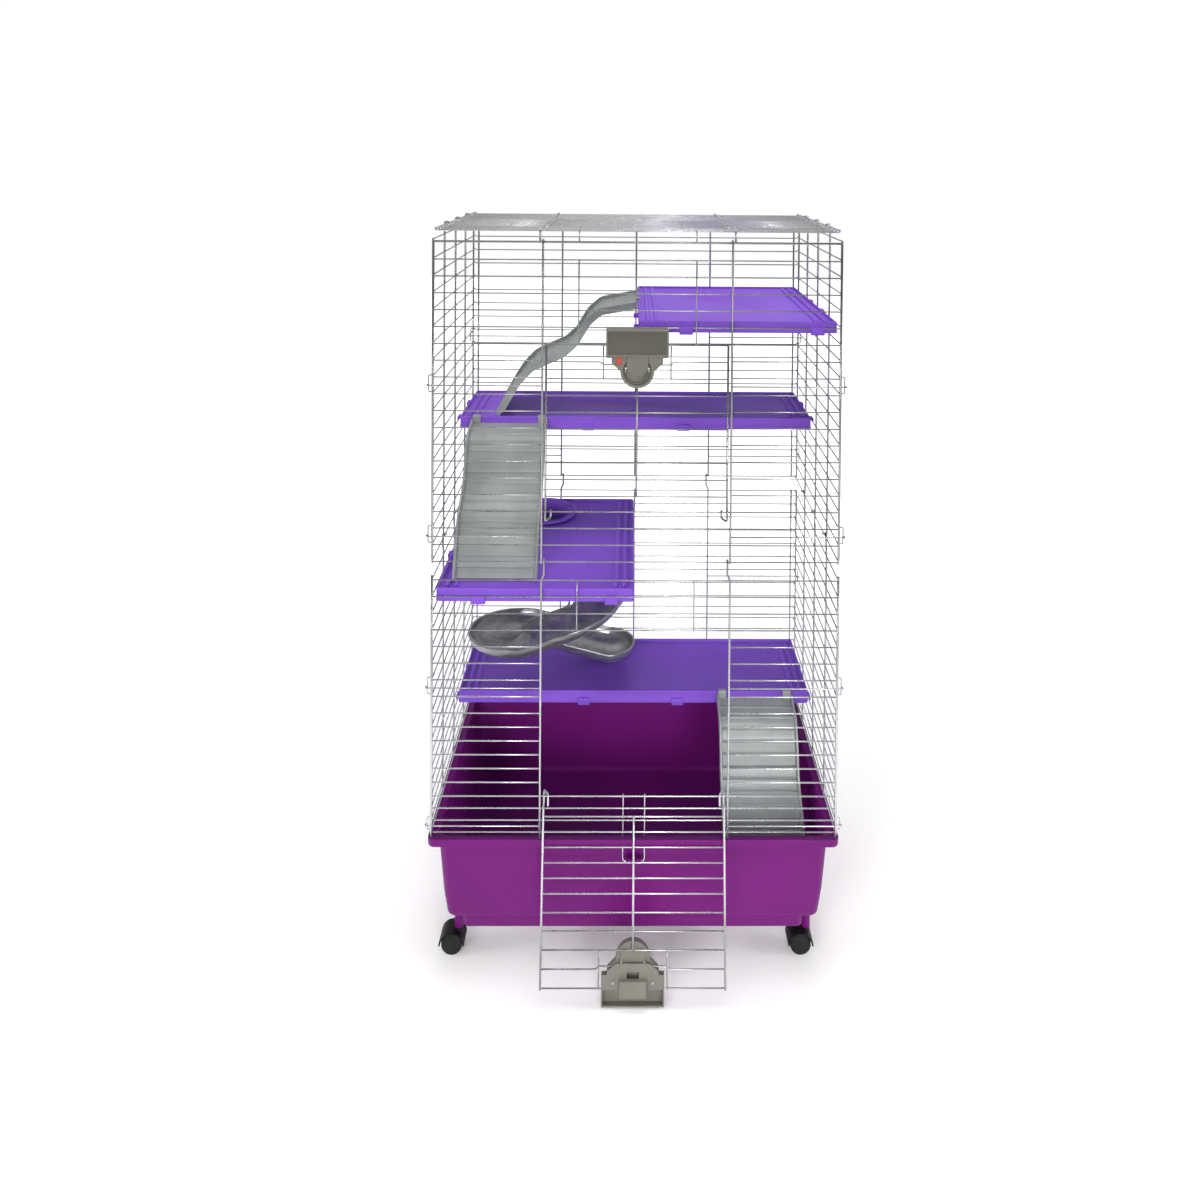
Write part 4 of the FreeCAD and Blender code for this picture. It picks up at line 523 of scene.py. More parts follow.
def ramp_plastic(name, colours):
    """Silver-grey plastic with metal flakes and slight rubbing."""
    made = Finish(name, IOR=1.48)
    cloud = made.noise(14, 4)
    fleck = made.noise(1300, 1)
    rub = made.between(made.noise(45, 5, 0.6, made.stretched((6, 1, 1))), 0.58, 0.72)
    tone = made.tones(made.between(cloud, 0.3, 0.7), colours.ramp, 0.9, 1.1)
    made.set(Base_Color=made.blend(rub * 0.2, tone, shade(colours.ramp, 1.5)), Metallic=0.35,
             Roughness=0.36 + cloud * 0.10 + fleck * 0.06)
    return made.bump(fleck + cloud, 0.00006)


def tread_plastic(name, colours):
    """Matt black tread with dust held in its grain."""
    made = Finish(name, Specular_IOR_Level=0.3)
    dust = made.between(made.noise(160, 5), 0.5, 0.75)
    made.set(Base_Color=made.blend(dust * 0.2, shade(colours.caster, 1.6), (0.06, 0.057, 0.055)),
             Roughness=0.55 + dust * 0.2)
    return made.bump(made.noise(1400, 2), 0.00015, 0.5)


def plated_steel(name, colours):
    """Brushed metal of the axles, stems and screws."""
    made = Finish(name)
    brush = made.noise(90, 3, 0.6, made.stretched((1, 1, 12)))
    made.set(Base_Color=made.tones(brush, colours.steel, 0.8, 1.2), Metallic=0.95, Roughness=0.24 + brush * 0.18)
    return made.bump(brush, 0.00003)


def studio_floor(name, colours):
    """Pale floor that shows the lamps' light and shadow near the cage and fades to white further off."""
    made = Finish(name, IOR=1.3, Emission_Strength=1.0)
    haze = made.noise(0.6, 2)
    eye = made.node("ShaderNodeLightPath", output="Is Camera Ray")
    away = made.node("ShaderNodeVectorMath", {"operation": "LENGTH"}, {0: made.place}, 1)
    glow = made.blend(made.between(away, 0.75, 2.2), (0.13, 0.125, 0.125), (1, 1, 1))
    return made.set(Base_Color=made.tones(haze, colours.floor, 0.98, 1.02), Roughness=0.7 + haze * 0.1,
                    Emission_Color=made.blend(eye, (0, 0, 0), glow))


class Frame:
    """The wires of one piece and the welds where they touch."""

    def __init__(self):
        self.sizes = bpy.context.scene.cage_sizes
        self.wires, self.welds = Skin(), Skin()

    def wire(self, path, thickness, flat):
        self.wires.add(tube(path, thickness / 2, flat, self.sizes.wire_sides))

    def bent(self, points, thickness, flat, bend=None):
        self.wire(rounded(points, bend or self.sizes.bend / MM), thickness, flat)

    def across(self, x, y, z):
        """Level wires along X at one depth and height."""
        self.wire([(x[0], y, z), (x[1], y, z)], THIN, Z)

    def upright(self, x, y, z, thickness=HEAVY):
        self.wire([(x, y, z[0]), (x, y, z[1])], thickness, X)

    def weld(self, places, outward):
        """Small beads of weld between touching wires, longest along the thinner one."""
        size = self.sizes.weld / MM
        radii = np.where(np.abs(outward) > 0.5, size * 0.75, size)
        for place in places:
            self.welds.add(bead(place, radii))

    def pieces(self, name, body, matrix=None):
        for skin, ending, maker in ((self.wires, "", coated_wire), (self.welds, "_welds", weld_metal)):
            if skin.count:
                if matrix is not None:
                    skin.turned(matrix)
                piece = skin.piece("wires_" + name + ending, finish(maker), 50)
                settle(piece, body, "coated_wire", *([] if ending else [name]))


def hooked(frame_wires, base, wire_z, over, outward, kink=0.0, start=0.0):
    """An upright that bends in a half circle over a level wire towards the cage's middle."""
    aside = np.cross(Z, outward) * kink
    base = np.asarray(base, float)
    path = [base[None]]
    if kink:
        low, high = base.copy(), base + aside
        low[2], high[2] = start, start + KINK_HEIGHT
        path = [rounded([base, low, high, high + Z * 6], 8)]
    centre = base + aside - outward * over
    centre[2] = wire_z
    path.append(arc(centre, over, 0, math.pi * 0.98, outward, Z))
    frame_wires.wire(np.concatenate(path), HEAVY, np.cross(outward, Z))


def corner_hook(wires, side, y_side, z, x_from):
    """A level wire that runs past the corner and curls round the side panel's staple."""
    y, radius = HALF_Y * y_side, STAPLE_BEND
    curl = arc((side * STAPLE_X, y - y_side * radius, z), radius, 0, math.pi, Y * y_side, X * side)
    wires.wire(np.concatenate([[(side * x_from, y, z)], curl]), THIN, Z)


def face_wires(wires, y_side, heights, hinge, opening_top, hooks, posts, hook_from):
    """Level wires and plain uprights of a front or back panel."""
    y = HALF_Y * y_side
    uprights = [x for x, foot, top in posts] + [hook_from, -hook_from]
    for number, z in enumerate(heights):
        split = hinge is not None and hinge < number < opening_top
        for span in ((-HALF_X, -OPENING), (OPENING, HALF_X)) if split else ((-HALF_X, HALF_X),):
            wires.across(span, y, z)
        wires.weld([(x, y + y_side * THIN / 2, z) for x in uprights], Y)
    for number in hooks:
        for side in SIDES:
            z = (heights[number] + heights[number + 1]) / 2
            corner_hook(wires, side, y_side, z, hook_from)
            wires.weld([(side * HALF_X, y + y_side * THIN / 2, z)], Y)
    for x, foot, top in posts:
        wires.upright(x, POST_Y * y_side, (foot, top))


def front_panel(name, heights, hinge, opening_top, hooks, foot, top, wire_z, over, kink):
    wires = Frame()
    face_wires(wires, -1, heights, hinge, opening_top, hooks, [(side * HALF_X, foot, top) for side in SIDES], OPENING)
    for side in SIDES:
        wires.upright(BRACE * side, -HALF_Y - THIN, (heights[opening_top], heights[-1]), THIN)
        wires.weld([(BRACE * side, -HALF_Y - THIN / 2, z) for z in heights[opening_top:]], Y)
        hooked(wires, (OPENING * side, -POST_Y, foot), wire_z, over, -Y, -kink * side, heights[-1] + HEAVY / 2)
    wires.pieces(name, "cage")


def back_panel(name, heights, hooks, foot, top, wire_z, over, kink):
    wires = Frame()
    posts = [(BACK_POST * step, foot, top) for step in (-1, 0, 1)]
    face_wires(wires, 1, heights, None, None, hooks, posts, BACK_HOOK)
    for side in SIDES:
        hooked(wires, (BACK_HOOK * side, POST_Y, foot), wire_z, over, Y, kink * side, heights[-1] + HEAVY / 2)
    wires.pieces(name, "cage")


def side_panel(name, side, heights, hooks, foot, top, wire_z, over, kink, extra):
    wires = Frame()
    x = HALF_X * side
    rows = [z + SIDE_RISE for z in heights] + ([extra + SIDE_RISE] if extra else [])
    posts = [SIDE_POST * end for end in SIDES] + [SIDE_STEP * step for step in (-1, 0, 1)]
    for z in rows:
        wires.wire([(x, -SIDE_REACH, z), (x, SIDE_REACH, z)], THIN, Z)
        wires.weld([(x + side * THIN / 2, y, z) for y in posts], X)
    for y in posts[:2]:
        wires.upright(POST_X * side, y, (foot, top))
    for y in posts[2:]:
        hooked(wires, (POST_X * side, y, foot), wire_z, over, X * side, kink, rows[-1] + HEAVY / 2)
    leg_x = x + THIN / 2 * side
    for number in hooks:
        for end in SIDES:
            y = (HALF_Y - STAPLE_BEND) * end
            places = ((leg_x, rows[number]), (STAPLE_X * side, rows[number]),
                      (STAPLE_X * side, rows[number + 1]), (leg_x, rows[number + 1]))
            wires.bent([(px, y, pz) for px, pz in places], THIN, Y, 3)
    wires.pieces(name, "cage")


def roof_row(number):
    return (HALF_Y - 9.5) * (2 * number / (ROOF_ROWS - 1) - 1)


def roof():
    wires = Frame()
    for number in range(ROOF_ROWS):
        y = roof_row(number)
        parted = ROOF_FRONT < number < ROOF_HINGE
        for span in ((-ROOF_X, -ROOF_BAR), (ROOF_BAR, ROOF_X)) if parted else ((-ROOF_X, ROOF_X),):
            wires.across(span, y, ROOF_CROSS_Z)
        wires.weld([(x, y, ROOF_CROSS_Z + THIN / 2) for x in (-ROOF_X, -ROOF_BAR, ROOF_BAR, ROOF_X)], Z)
    leg_y = FLANGE_Y - HEAVY
    foot = FLANGE_Z - HEAVY / 2
    for side in SIDES:
        wires.wire([(ROOF_X * side, -leg_y, ROOF_Z), (ROOF_X * side, leg_y, ROOF_Z)], HEAVY, Z)
        x = ROOF_BAR * side
        wires.bent([(x, -leg_y, foot), (x, -leg_y, ROOF_Z), (x, leg_y, ROOF_Z), (x, leg_y, foot)], HEAVY, X, 6)
        x, brace_y, brace_z = BRACE * side, FLANGE_Y - POST_GAP, ROOF_CROSS_Z + THIN
        end = roof_row(ROOF_FRONT) - ROOF_LIP - THIN / 2 - HOOK_GAP
        wires.bent([(x, end, brace_z), (x, -brace_y, brace_z), (x, -brace_y, foot)], THIN, X, 4)
        wires.weld([(x, roof_row(row), ROOF_CROSS_Z + THIN / 2) for row in range(ROOF_FRONT)], Z)
        wires.across((-HALF_X, HALF_X), FLANGE_Y * side, FLANGE_Z)
        wires.wire([(-HALF_X, FLANGE_Y * side, FLANGE_Z), (HALF_X, FLANGE_Y * side, FLANGE_Z)], HEAVY, Z)
    wires.pieces("roof_panel", "cage")

    door = Frame()
    rows = range(ROOF_FRONT + 1, ROOF_HINGE)
    hinge_y, front_y = roof_row(ROOF_HINGE), roof_row(ROOF_FRONT) - ROOF_LIP
    frame_z = ROOF_CROSS_Z + OVER_THIN
    cross_z = frame_z - POST_GAP
    for side in SIDES:
        x = ROOF_DOOR * side
        curl = arc((x, hinge_y, ROOF_CROSS_Z), OVER_THIN, math.pi / 2, -math.pi / 2, Y, Z)
        door.wire(np.concatenate([[(x, front_y - THIN, frame_z)], curl]), HEAVY, X)
        door.weld([(x, roof_row(row), cross_z + THIN / 2) for row in rows], Z)
    for number in rows:
        door.across((-ROOF_DOOR, ROOF_DOOR), roof_row(number), cross_z)
    dip = cross_z - 7
    dipped = ((-ROOF_DOOR, cross_z), (-34, cross_z), (-27, dip), (27, dip), (34, cross_z), (ROOF_DOOR, cross_z))
    door.bent([(x, front_y, z) for x, z in dipped], THIN, Y, 4)
    door.pieces("roof_door", "roof_door")


def door_place(name):
    """How a front door's pieces are turned from shut to their place at rest."""
    heights, hinge = DOORS[name][:2]
    if name == "upper":
        return Matrix.Identity(4)
    pivot = Vector((0, -HALF_Y - DOOR_PIVOT, heights[hinge] - DOOR_DROP / 2))
    return Matrix.Translation(pivot) @ Matrix.Rotation(DOOR_SWING, 4, "X") @ Matrix.Translation(-pivot)


def front_door(name):
    heights, hinge, opening_top, extra = DOORS[name]
    wires = Frame()
    top = heights[opening_top]
    for number in range(hinge + 1, opening_top + 1):
        z = heights[number]
        if number == opening_top - 1:
            low = z - LATCH_JOG
            wires.bent([(-DOOR_HALF, DOOR_CROSS_Y, z), (-LATCH_STAY - LATCH_JOG, DOOR_CROSS_Y, z),
                        (-LATCH_STAY, DOOR_CROSS_Y, low), (LATCH_STAY, DOOR_CROSS_Y, low),
                        (LATCH_STAY + LATCH_JOG, DOOR_CROSS_Y, z), (DOOR_HALF, DOOR_CROSS_Y, z)], THIN, Y)
        else:
            wires.across((-DOOR_HALF, DOOR_HALF), DOOR_CROSS_Y, z)
        wires.weld([(x, DOOR_CROSS_Y + THIN / 2, z) for x in (-DOOR_HALF, 0, DOOR_HALF)
                    if x or number < opening_top - 1], Y)
    track = math.hypot(DOOR_PIVOT, DOOR_DROP / 2)
    lean = math.atan2(DOOR_DROP / 2, DOOR_PIVOT)
    pivot_y = -HALF_Y - DOOR_PIVOT
    front_y = pivot_y + track * math.cos(lean - DOOR_SWING) - OVER_THIN
    inner_y = pivot_y + track + OVER_THIN
    hinge_z = heights[hinge]
    bottom = hinge_z - DOOR_DROP / 2 - track - OVER_THIN - extra
    for side in SIDES:
        x, aside = DOOR_HALF * side, (DOOR_HALF - 9) * side
        wires.bent([(x, DOOR_FRAME_Y, top + THIN / 2), (x, DOOR_FRAME_Y, hinge_z + 10), (x, front_y, hinge_z + 4),
                    (x, front_y, bottom), (aside, inner_y, bottom), (aside, inner_y, hinge_z + 1.5)],
                   HEAVY, X + Y * 1e-3, 4.2)
        stay_y = DOOR_CROSS_Y + THIN
        wires.upright(LATCH_STAY * side, stay_y, (heights[opening_top - 2], top), THIN)
        wires.weld([(LATCH_STAY * side, DOOR_CROSS_Y + THIN / 2, z)
                    for z in (heights[opening_top - 2], heights[opening_top - 1] - LATCH_JOG, top)], Y)
        wires.weld([(BRACE * side, DOOR_CROSS_Y, top)], Z)
    wires.upright(0, DOOR_FRAME_Y, (heights[hinge + 1], heights[opening_top - 2]))
    wires.pieces(name + "_door", name + "_door", door_place(name))


def rim_clips():
    """The two wire clips between the lowest panels and the tub."""
    wires = Frame()
    over, foot, half = THIN + HOOK_GAP, 227.8, 20.0
    for side in SIDES:
        y = (HALF_Y - over) * side
        inward = -Y * side
        left = arc((-half, HALF_Y * side, LOW[3]), over, math.pi, 0, inward, Z)
        right = arc((half, HALF_Y * side, LOW[3]), over, 0, math.pi, inward, Z)
        middle = rounded([left[-1], (-half, y, foot), (half, y, foot), right[0]], 6)
        wires.wire(np.concatenate([left, middle[1:-1], right]), THIN, X * 0.02 + Y)
    wires.pieces("rim_bails", "cage")


def operator(words, maker):
    """An operator that makes one group of pieces."""

    def execute(self, context):
        maker()
        return {"FINISHED"}

    name = "".join(word.capitalize() for word in maker.__name__.split("_"))
    return type("CAGE_OT_" + maker.__name__, (bpy.types.Operator,), {
        "bl_idname": "cage." + maker.__name__, "bl_label": name, "__doc__": words, "execute": execute})


def make_wires():
    high_foot, high_top = HIGH[0] - HEAVY / 2, FLANGE_Z + HEAVY / 2
    low_top = LOW[-1] + HEAVY / 2
    front_panel("front_panel_upper", HIGH, 3, 13, (1, 10), high_foot, high_top, FLANGE_Z, OVER_HEAVY, 0)
    front_panel("front_panel_lower", LOW, 3, 14, (0, 10), PANEL_FOOT, low_top, HIGH[0], OVER_THIN, KINK)
    back_panel("back_panel_upper", HIGH, (1, 10), high_foot, high_top, FLANGE_Z, OVER_HEAVY, 0)
    back_panel("back_panel_lower", LOW, (0, 10), PANEL_FOOT, low_top, HIGH[0], OVER_THIN, KINK)
    for name, side in (("left", -1), ("right", 1)):
        side_panel(name + "_panel_upper", side, HIGH, (1, 10), high_foot + SIDE_RISE, high_top + SIDE_RISE, ROOF_Z,
                   OVER_HEAVY, 0, FLANGE_Z + HEAVY / 2)
        side_panel(name + "_panel_lower", side, LOW, (0, 10), PANEL_FOOT, low_top + SIDE_RISE, HIGH[0] + SIDE_RISE,
                   OVER_THIN, KINK, None)
    roof()
    rim_clips()
    for name in DOORS:
        front_door(name)


def make_tub():
    """The tub in one skin: up the outside, over the turned-down rim and ledge, and down the inside."""
    wall, inset = 3.0, 15.5
    foot = inset + 6

    def lean(z):
        """How far the wall is drawn in at a height: it falls evenly from the foot to the ledge."""
        return inset * (1 - (z - TUB_FOOT) / (LEDGE - TUB_FOOT))

    turn = np.linspace(0, math.pi / 2, 7)
    bottom = [(lean(TUB_FOOT) + 9 * (1 - math.sin(t)), TUB_FOOT + 9 * (1 - math.cos(t))) for t in turn]
    rim_foot, lip = RIM_TOP - 13, -14.5
    outside = bottom + [(lean(z), z) for z in (160.0, 200.0, 240.0, RIM_TOP - 8)]
    outside += [(lean(270) - 2, 270.6), (lip + wall + 2, 270.6), (lip + wall, 268.6), (lip + wall, rim_foot),
                (lip + wall * 0.6, rim_foot - 0.4), (lip + 0.4, rim_foot - 0.2), (lip, rim_foot + 1.2),
                (lip, RIM_TOP - 1.6), (lip + 0.3, RIM_TOP - 0.5), (lip + 1.0, RIM_TOP), (lip + 1.3, RIM_TOP - 0.6),
                (lip + 1.4, LEDGE + 0.6), (lip + 2.2, LEDGE)]
    inner = [(wall - 2.5, LEDGE), (wall - 0.6, LEDGE - 0.6), (lean(LEDGE - 3) + wall, LEDGE - 3)]
    inner += [(lean(z) + wall, z) for z in (240.0, 200.0, 160.0)]
    inner += [(lean(TUB_FOOT) + wall + 11 * (1 - math.sin(t)), TUB_FOOT + wall + 11 * (1 - math.cos(t)))
              for t in turn[::-1]]
    rows = []
    for number, (draw, height) in enumerate(outside + inner):
        corner = 24.0 - max(draw, 0)
        if draw < 0:
            corner = 14.0 - (draw - lip)
        elif number < len(bottom):
            corner = 24.0 - draw * 0.5
        loop = outline(TUB_X - draw, TUB_Y - draw, max(corner, 8.0), 10, 6)
        rows.append(lifted(loop, height))
    skin = Skin().add(np.array(rows))
    profile = [(0, TUB_FOOT + 1), (0, 85.0), (0.8, 84.0), (2.2, 84.0), (3, 85.0), (3, TUB_FOOT + 1)]
    skin.add(bowl((0, 0), TUB_X - foot - 23, TUB_Y - foot - 0.5, 13, profile, 6))
    for sx, sy in CORNERS.values():
        place = (CASTER_X * sx, CASTER_Y * sy, 0)
        socket = [(8.25, TUB_FOOT + 1), (8.25, 47.2), (7.4, 46.0), (4.6, 46.0), (4.35, 47.0), (4.35, 101.0)]
        skin.add(upright_spun(place, socket, 32))
        collar = [(12.0, TUB_FOOT + 1), (11.2, 103.0), (9.2, 100.6), (8.4, 97.0), (8.2, 97.0)]
        skin.add(upright_spun(place, collar, 32))
        for turn_by in (0, math.pi / 2):
            fin = slab((-15.0, 15.0), (-1.2, 1.2), (86.0, TUB_FOOT + 1), 0.6)
            c, s = math.cos(turn_by), math.sin(turn_by)
            skin.add(fin @ np.array([[c, s, 0], [-s, c, 0], [0, 0, 1]]) + place)
    for side in SIDES:
        skin.add(slab((-14.0, 14.0), sorted((211.0 * side, 226.0 * side)), (229.4, 237.4), 1.6))
    tub = skin.piece("tub_shell", finish(tub_plastic), 42)
    settle(tub, "cage", "tub_plastic", "base_tub")


def bar(x, y, z):
    """A raised bar with a round top and round ends."""
    radius = min((x[1] - x[0]) / 2, z[1] - z[0])
    turn = np.linspace(0, math.pi / 2, 5)
    profile = [(0, z[0])]
    profile += [(radius * 0.75 * (1 - math.cos(t)), z[1] - radius * 0.6 * (1 - math.sin(t))) for t in turn]
    centre, half_x, half_y = plan(x, y)
    return bowl(centre, half_x, half_y, half_x, profile, 1)


def shelf(name):
    """A moulded shelf: one profile carried round it from the lip's foot over the rim to the floor."""
    x, y, top, lip, seat, sides = SHELVES[name]
    centre, half_x, half_y = plan(x, y)
    floor = top - SHELF_SINK
    foot = top - lip
    turn = np.linspace(0, math.pi / 2, 5)
    over = [(2.2 * (1 - math.cos(t)), top - 2.2 * (1 - math.sin(t))) for t in turn]
    profile = [(SHELF_WALL, floor - SHELF_WALL), (SHELF_WALL, foot + 0.6), (SHELF_WALL - 0.5, foot),
               (0.6, foot), (0, foot + 0.6), (0, foot + 6), (0.5, foot + 6.6), (0.5, top - 4)]
    profile += [(inset + 0.5, height) for inset, height in over]
    profile += [(4.2, top), (5.0, top - 0.5), (5.6, floor + 0.6), (6.8, floor)]
    skin = Skin()
    rows = bowl(centre, half_x, half_y, 7.0, profile, 8)
    hole = name == "shelf_middle_left"
    skin.add(rows, caps=(not hole, not hole))
    if hole:
        angles = np.arctan2(rows[-1][:, 1] - HOLE[1], rows[-1][:, 0] - HOLE[0])
        ring = np.stack([HOLE[0] + HOLE[2] * np.cos(angles), HOLE[1] + HOLE[2] * np.sin(angles)], axis=-1)
        flat = [lifted(ring, z) for z in (floor, floor - SHELF_WALL)]
        skin.add(np.array([rows[-1], flat[0], flat[1], rows[0]]), caps=(False, False))
    gap = 16.0
    for inset in (14.0, 30.0):
        for start in (x[0] + inset, x[1] - inset - 8):
            skin.add(bar((start, start + 8), (y[0] + gap, y[1] - gap), (floor - 1, floor + 4.4)))
    wide = 25.0
    tabs = {
        "shelf_top_right": (x[0] + wide * 3, x[1] - wide * 2), "shelf_upper_wide": (-wide * 4.5, wide * 3.5),
        "shelf_middle_left": (x[0] + wide * 2.7, x[1] - wide * 2.2), "shelf_lower_wide": (-wide * 4.7, wide * 3.2),
    }
    for start in tabs[name]:
        reach = 6.0 if len(sides) == 1 else 4.0
        skin.add(slab((start, start + wide), (y[0] - reach, y[0] + 1), (foot - 3.0, foot + 11), 1.0))
        skin.add(slab((start + 3, start + wide - 3), (y[0] - reach - 0.9, y[0] - 1), (foot + 1, foot + 7), 0.4))
    seat_z = top - seat + THIN / 2 + 0.3
    outer = HALF_X + THIN / 2 + 0.3
    places = [SIDE_STEP * share for share in ((-0.5, 0.5) if len(sides) == 1 else (0.35, 1.35))]
    for side in sides:
        for seat_y in places:
            rim = half_x * side + centre[0]
            across = sorted((rim - side * 1.2, (outer + 2.5) * side))
            span = (seat_y - 10, seat_y + 10)
            skin.add(slab(across, span, (seat_z, seat_z + 3), 0.8))
            skin.add(slab(sorted((outer * side, (outer + 2.5) * side)), span, (seat_z - 5, seat_z + 1), 0.8))
    if name == "shelf_top_right":
        for clip_y in (y[0] + 25, y[0] + 142.5):
            skin.add(slab((x[0] - 9, x[0] + 1), (clip_y, clip_y + 12), (foot, foot + 9), 1))
    piece = skin.piece("moulded_" + name, finish(shelf_plastic), 40)
    settle(piece, "cage", "shelf_plastic", name)


def make_shelves():
    for name in SHELVES:
        shelf(name)
    floor = SHELVES["shelf_middle_left"][2] - SHELF_SINK
    foot = floor + 0.3 + 3.5
    turn = np.linspace(0, math.pi, 9)
    roll = [(66.5 + 4.4 * math.cos(t), foot + 1.5 + 3.4 * math.sin(t)) for t in turn]
    profile = [(55.0, foot - 36), (57.6, foot - 36), (58.0, foot - 35), (58.0, foot - 0.2), (70.6, foot - 0.2)]
    profile += roll + [(58.4, foot + 2.4), (55.6, foot + 1.2), (55.0, foot - 0.5), (55.0, foot - 36)]
    skin = Skin().add(upright_spun((HOLE[0], HOLE[1], 0), profile, 96), caps=(False, False))
    collar = skin.piece("hole_ring", finish(shelf_plastic), 40)
    settle(collar, "cage", "shelf_plastic", "hole_collar")


def slide_route():
    """Centre line of the slide at rim height, with its heading, every few degrees or centimetres."""
    radius, right_x, gap, middle = 75.0, -146.0, 78.0, 69.0
    left_x = right_x - gap
    top = SHELVES["shelf_middle_left"][2] - 24 - 5.7
    right, front, left, back = top - 143, top - 171, top - 226, top - 245
    level = SHELVES["shelf_lower_wide"][2] - SHELF_SINK + 36 + 0.3
    head = HOLE[0] - 60
    start = top - (top - right) * 0.3
    parts = []

    def straight(x0, x1, y, z0, z1, side, count):
        s = np.linspace(0, 1, count, endpoint=False)[:, None]
        point = np.concatenate([x0 + (x1 - x0) * s, y + 0 * s, z0 + (z1 - z0) * s], axis=1)
        parts.append(np.concatenate([point, X * side + 0 * point], axis=1))

    def half_turn(centre, begin, z0, z1):
        s = np.linspace(0, 1, TURN_STEPS, endpoint=False)
        angle = begin - math.pi * s
        parts.append(np.stack([centre + radius * np.cos(angle), middle + radius * np.sin(angle), z0 + (z1 - z0) * s,
                               np.sin(angle), -np.cos(angle), 0 * s], axis=1))

    straight(head, right_x, middle + radius, top, start, 1, HEAD_STEPS)
    half_turn(right_x, math.pi / 2, start, right)
    straight(right_x, left_x, middle - radius, right, front, -1, LINK_STEPS)
    half_turn(left_x, -math.pi / 2, front, left)
    straight(left_x, right_x, middle + radius, left, back, 1, LINK_STEPS)
    straight(right_x, SLIDE_END - SLIDE_HALF, middle + radius, back, level, 1, 24)
    parts.append(np.array([[SLIDE_END - SLIDE_HALF, middle + radius, level, 1, 0, 0]]))
    return np.concatenate(parts)


def slide_lengths(route):
    """The stations of the three lengths, parted where the CAD parts them."""
    return {"slide_top": route[:SLIDE_PARTS[0] + 1], "slide_middle": route[SLIDE_PARTS[0]:SLIDE_PARTS[1] + 1],
            "slide_exit": route[SLIDE_PARTS[1]:]}


def trough_section(roll):
    """The cut of the half pipe: ellipse arcs outside and inside, joined by rolled rims."""
    arc_t = np.linspace(0.02, math.pi - 0.02, ARC_STEPS)
    roll_t = np.linspace(math.pi * 1.1, -math.pi * 0.25, ROLL_STEPS)
    outer_half, inner_half = SLIDE_HALF - roll, SLIDE_HALF - roll - SLIDE_WALL
    outer = np.stack([outer_half * np.cos(arc_t), -SLIDE_DEPTH * np.sin(arc_t)], axis=1)
    inner = np.stack([inner_half * np.cos(arc_t[::-1]), (SLIDE_WALL - SLIDE_DEPTH) * np.sin(arc_t[::-1])], axis=1)
    centre = outer_half - SLIDE_WALL / 2 + roll * 0.35
    right = np.stack([centre + roll * np.cos(roll_t), roll * 0.2 + roll * np.sin(roll_t)], axis=1)
    return np.concatenate([outer, right[::-1] * (-1, 1), inner, right])


def trough(stations, section, collar):
    """The section at every station, a little larger at a collar, with low ribs across its floor.

    Rib: 0.9 mm times a high power of the cosine of the distance along the route, on the inner arc only.
    """
    order = np.arange(len(section)) - ARC_STEPS
    outer = order < 0
    inner = (order >= ROLL_STEPS) & (order < ROLL_STEPS + ARC_STEPS) & (np.abs(section[:, 0]) < SLIDE_HALF * 0.8)
    heading = stations[:, 3:]
    across = np.cross(Z, heading)
    steps = np.linalg.norm(np.diff(stations[:, :3], axis=0), axis=1)
    along = np.concatenate([[0], np.cumsum(steps)])
    rib = 0.9 * np.clip(np.cos(along * math.tau / 21.0), 0, 1) ** 4
    rib[[0, -1]] = 0
    flat = section[None, :, 0] + outer * np.sign(section[:, 0]) * collar[:, None]
    fall = section[None, :, 1] - outer * collar[:, None] + inner * rib[:, None]
    return stations[:, None, :3] + across[:, None] * flat[..., None] + Z * fall[..., None]


def scoop(station, section, steps=25):
    """Half of the section turned half round an upright line, so that the rim runs round the slide's foot."""
    middle = ARC_STEPS // 2
    half = section[np.arange(middle, -middle - ROLL_STEPS - 2, -1) % len(section)].copy()
    half[[0, -1], 0] = 0
    turn = np.linspace(0, math.pi, steps)[:, None, None]
    across = np.cross(Z, station[3:])
    direction = np.cos(turn) * across + np.sin(turn) * station[3:]
    return station[:3] + direction * half[None, :, :1] + Z * half[None, :, 1:]


def head_cup(rim):
    """A low wall round the slide's head, open towards the run: a band of one radius over most of a circle."""
    turn = np.linspace(math.radians(52), math.radians(308), 60)[:, None]
    radius = np.array([[59.0, 61.4, 61.6, 61.2, 59.4, 59.0]])
    height = np.array([[rim - 30, rim - 30, rim - 6, rim + 4.4, rim + 4.6, rim + 4.0]])
    return np.stack([HOLE[0] + radius * np.cos(turn), HOLE[1] + radius * np.sin(turn), height + 0 * turn], axis=-1)


def make_slide():
    route = slide_route()
    section = trough_section(bpy.context.scene.cage_sizes.rim_roll / MM)
    paint = finish(slide_plastic)
    for name, stations in slide_lengths(route).items():
        last = name == "slide_exit"
        collar = np.zeros(len(stations))
        collar[[1, 2, 3]] = 1.2
        if not last:
            collar[[-4, -3, -2]] = 1.2
        skin = Skin().add(trough(stations, section, collar), caps=(True, not last))
        if last:
            skin.add(scoop(stations[-1], section), wrap=False, caps=(False, False))
        if name == "slide_top":
            skin.add(head_cup(stations[0][2]))
        settle(skin.piece("half_pipe_" + name, paint, 50, merge=last), "cage", "slide_plastic", name)
    skin = Skin()
    for number in SLIDE_PARTS:
        point = route[number]
        foot = point[2] - SLIDE_DEPTH - 1.5 - 7
        profile = [(2.2, foot), (3.0, foot + 0.8), (3.0, foot + 6.4), (2.4, foot + 7)]
        skin.add(upright_spun((point[0], point[1], 0), profile, 20))
    settle(skin.piece("slide_pegs", paint), "cage", "slide_plastic", "slide_pins")


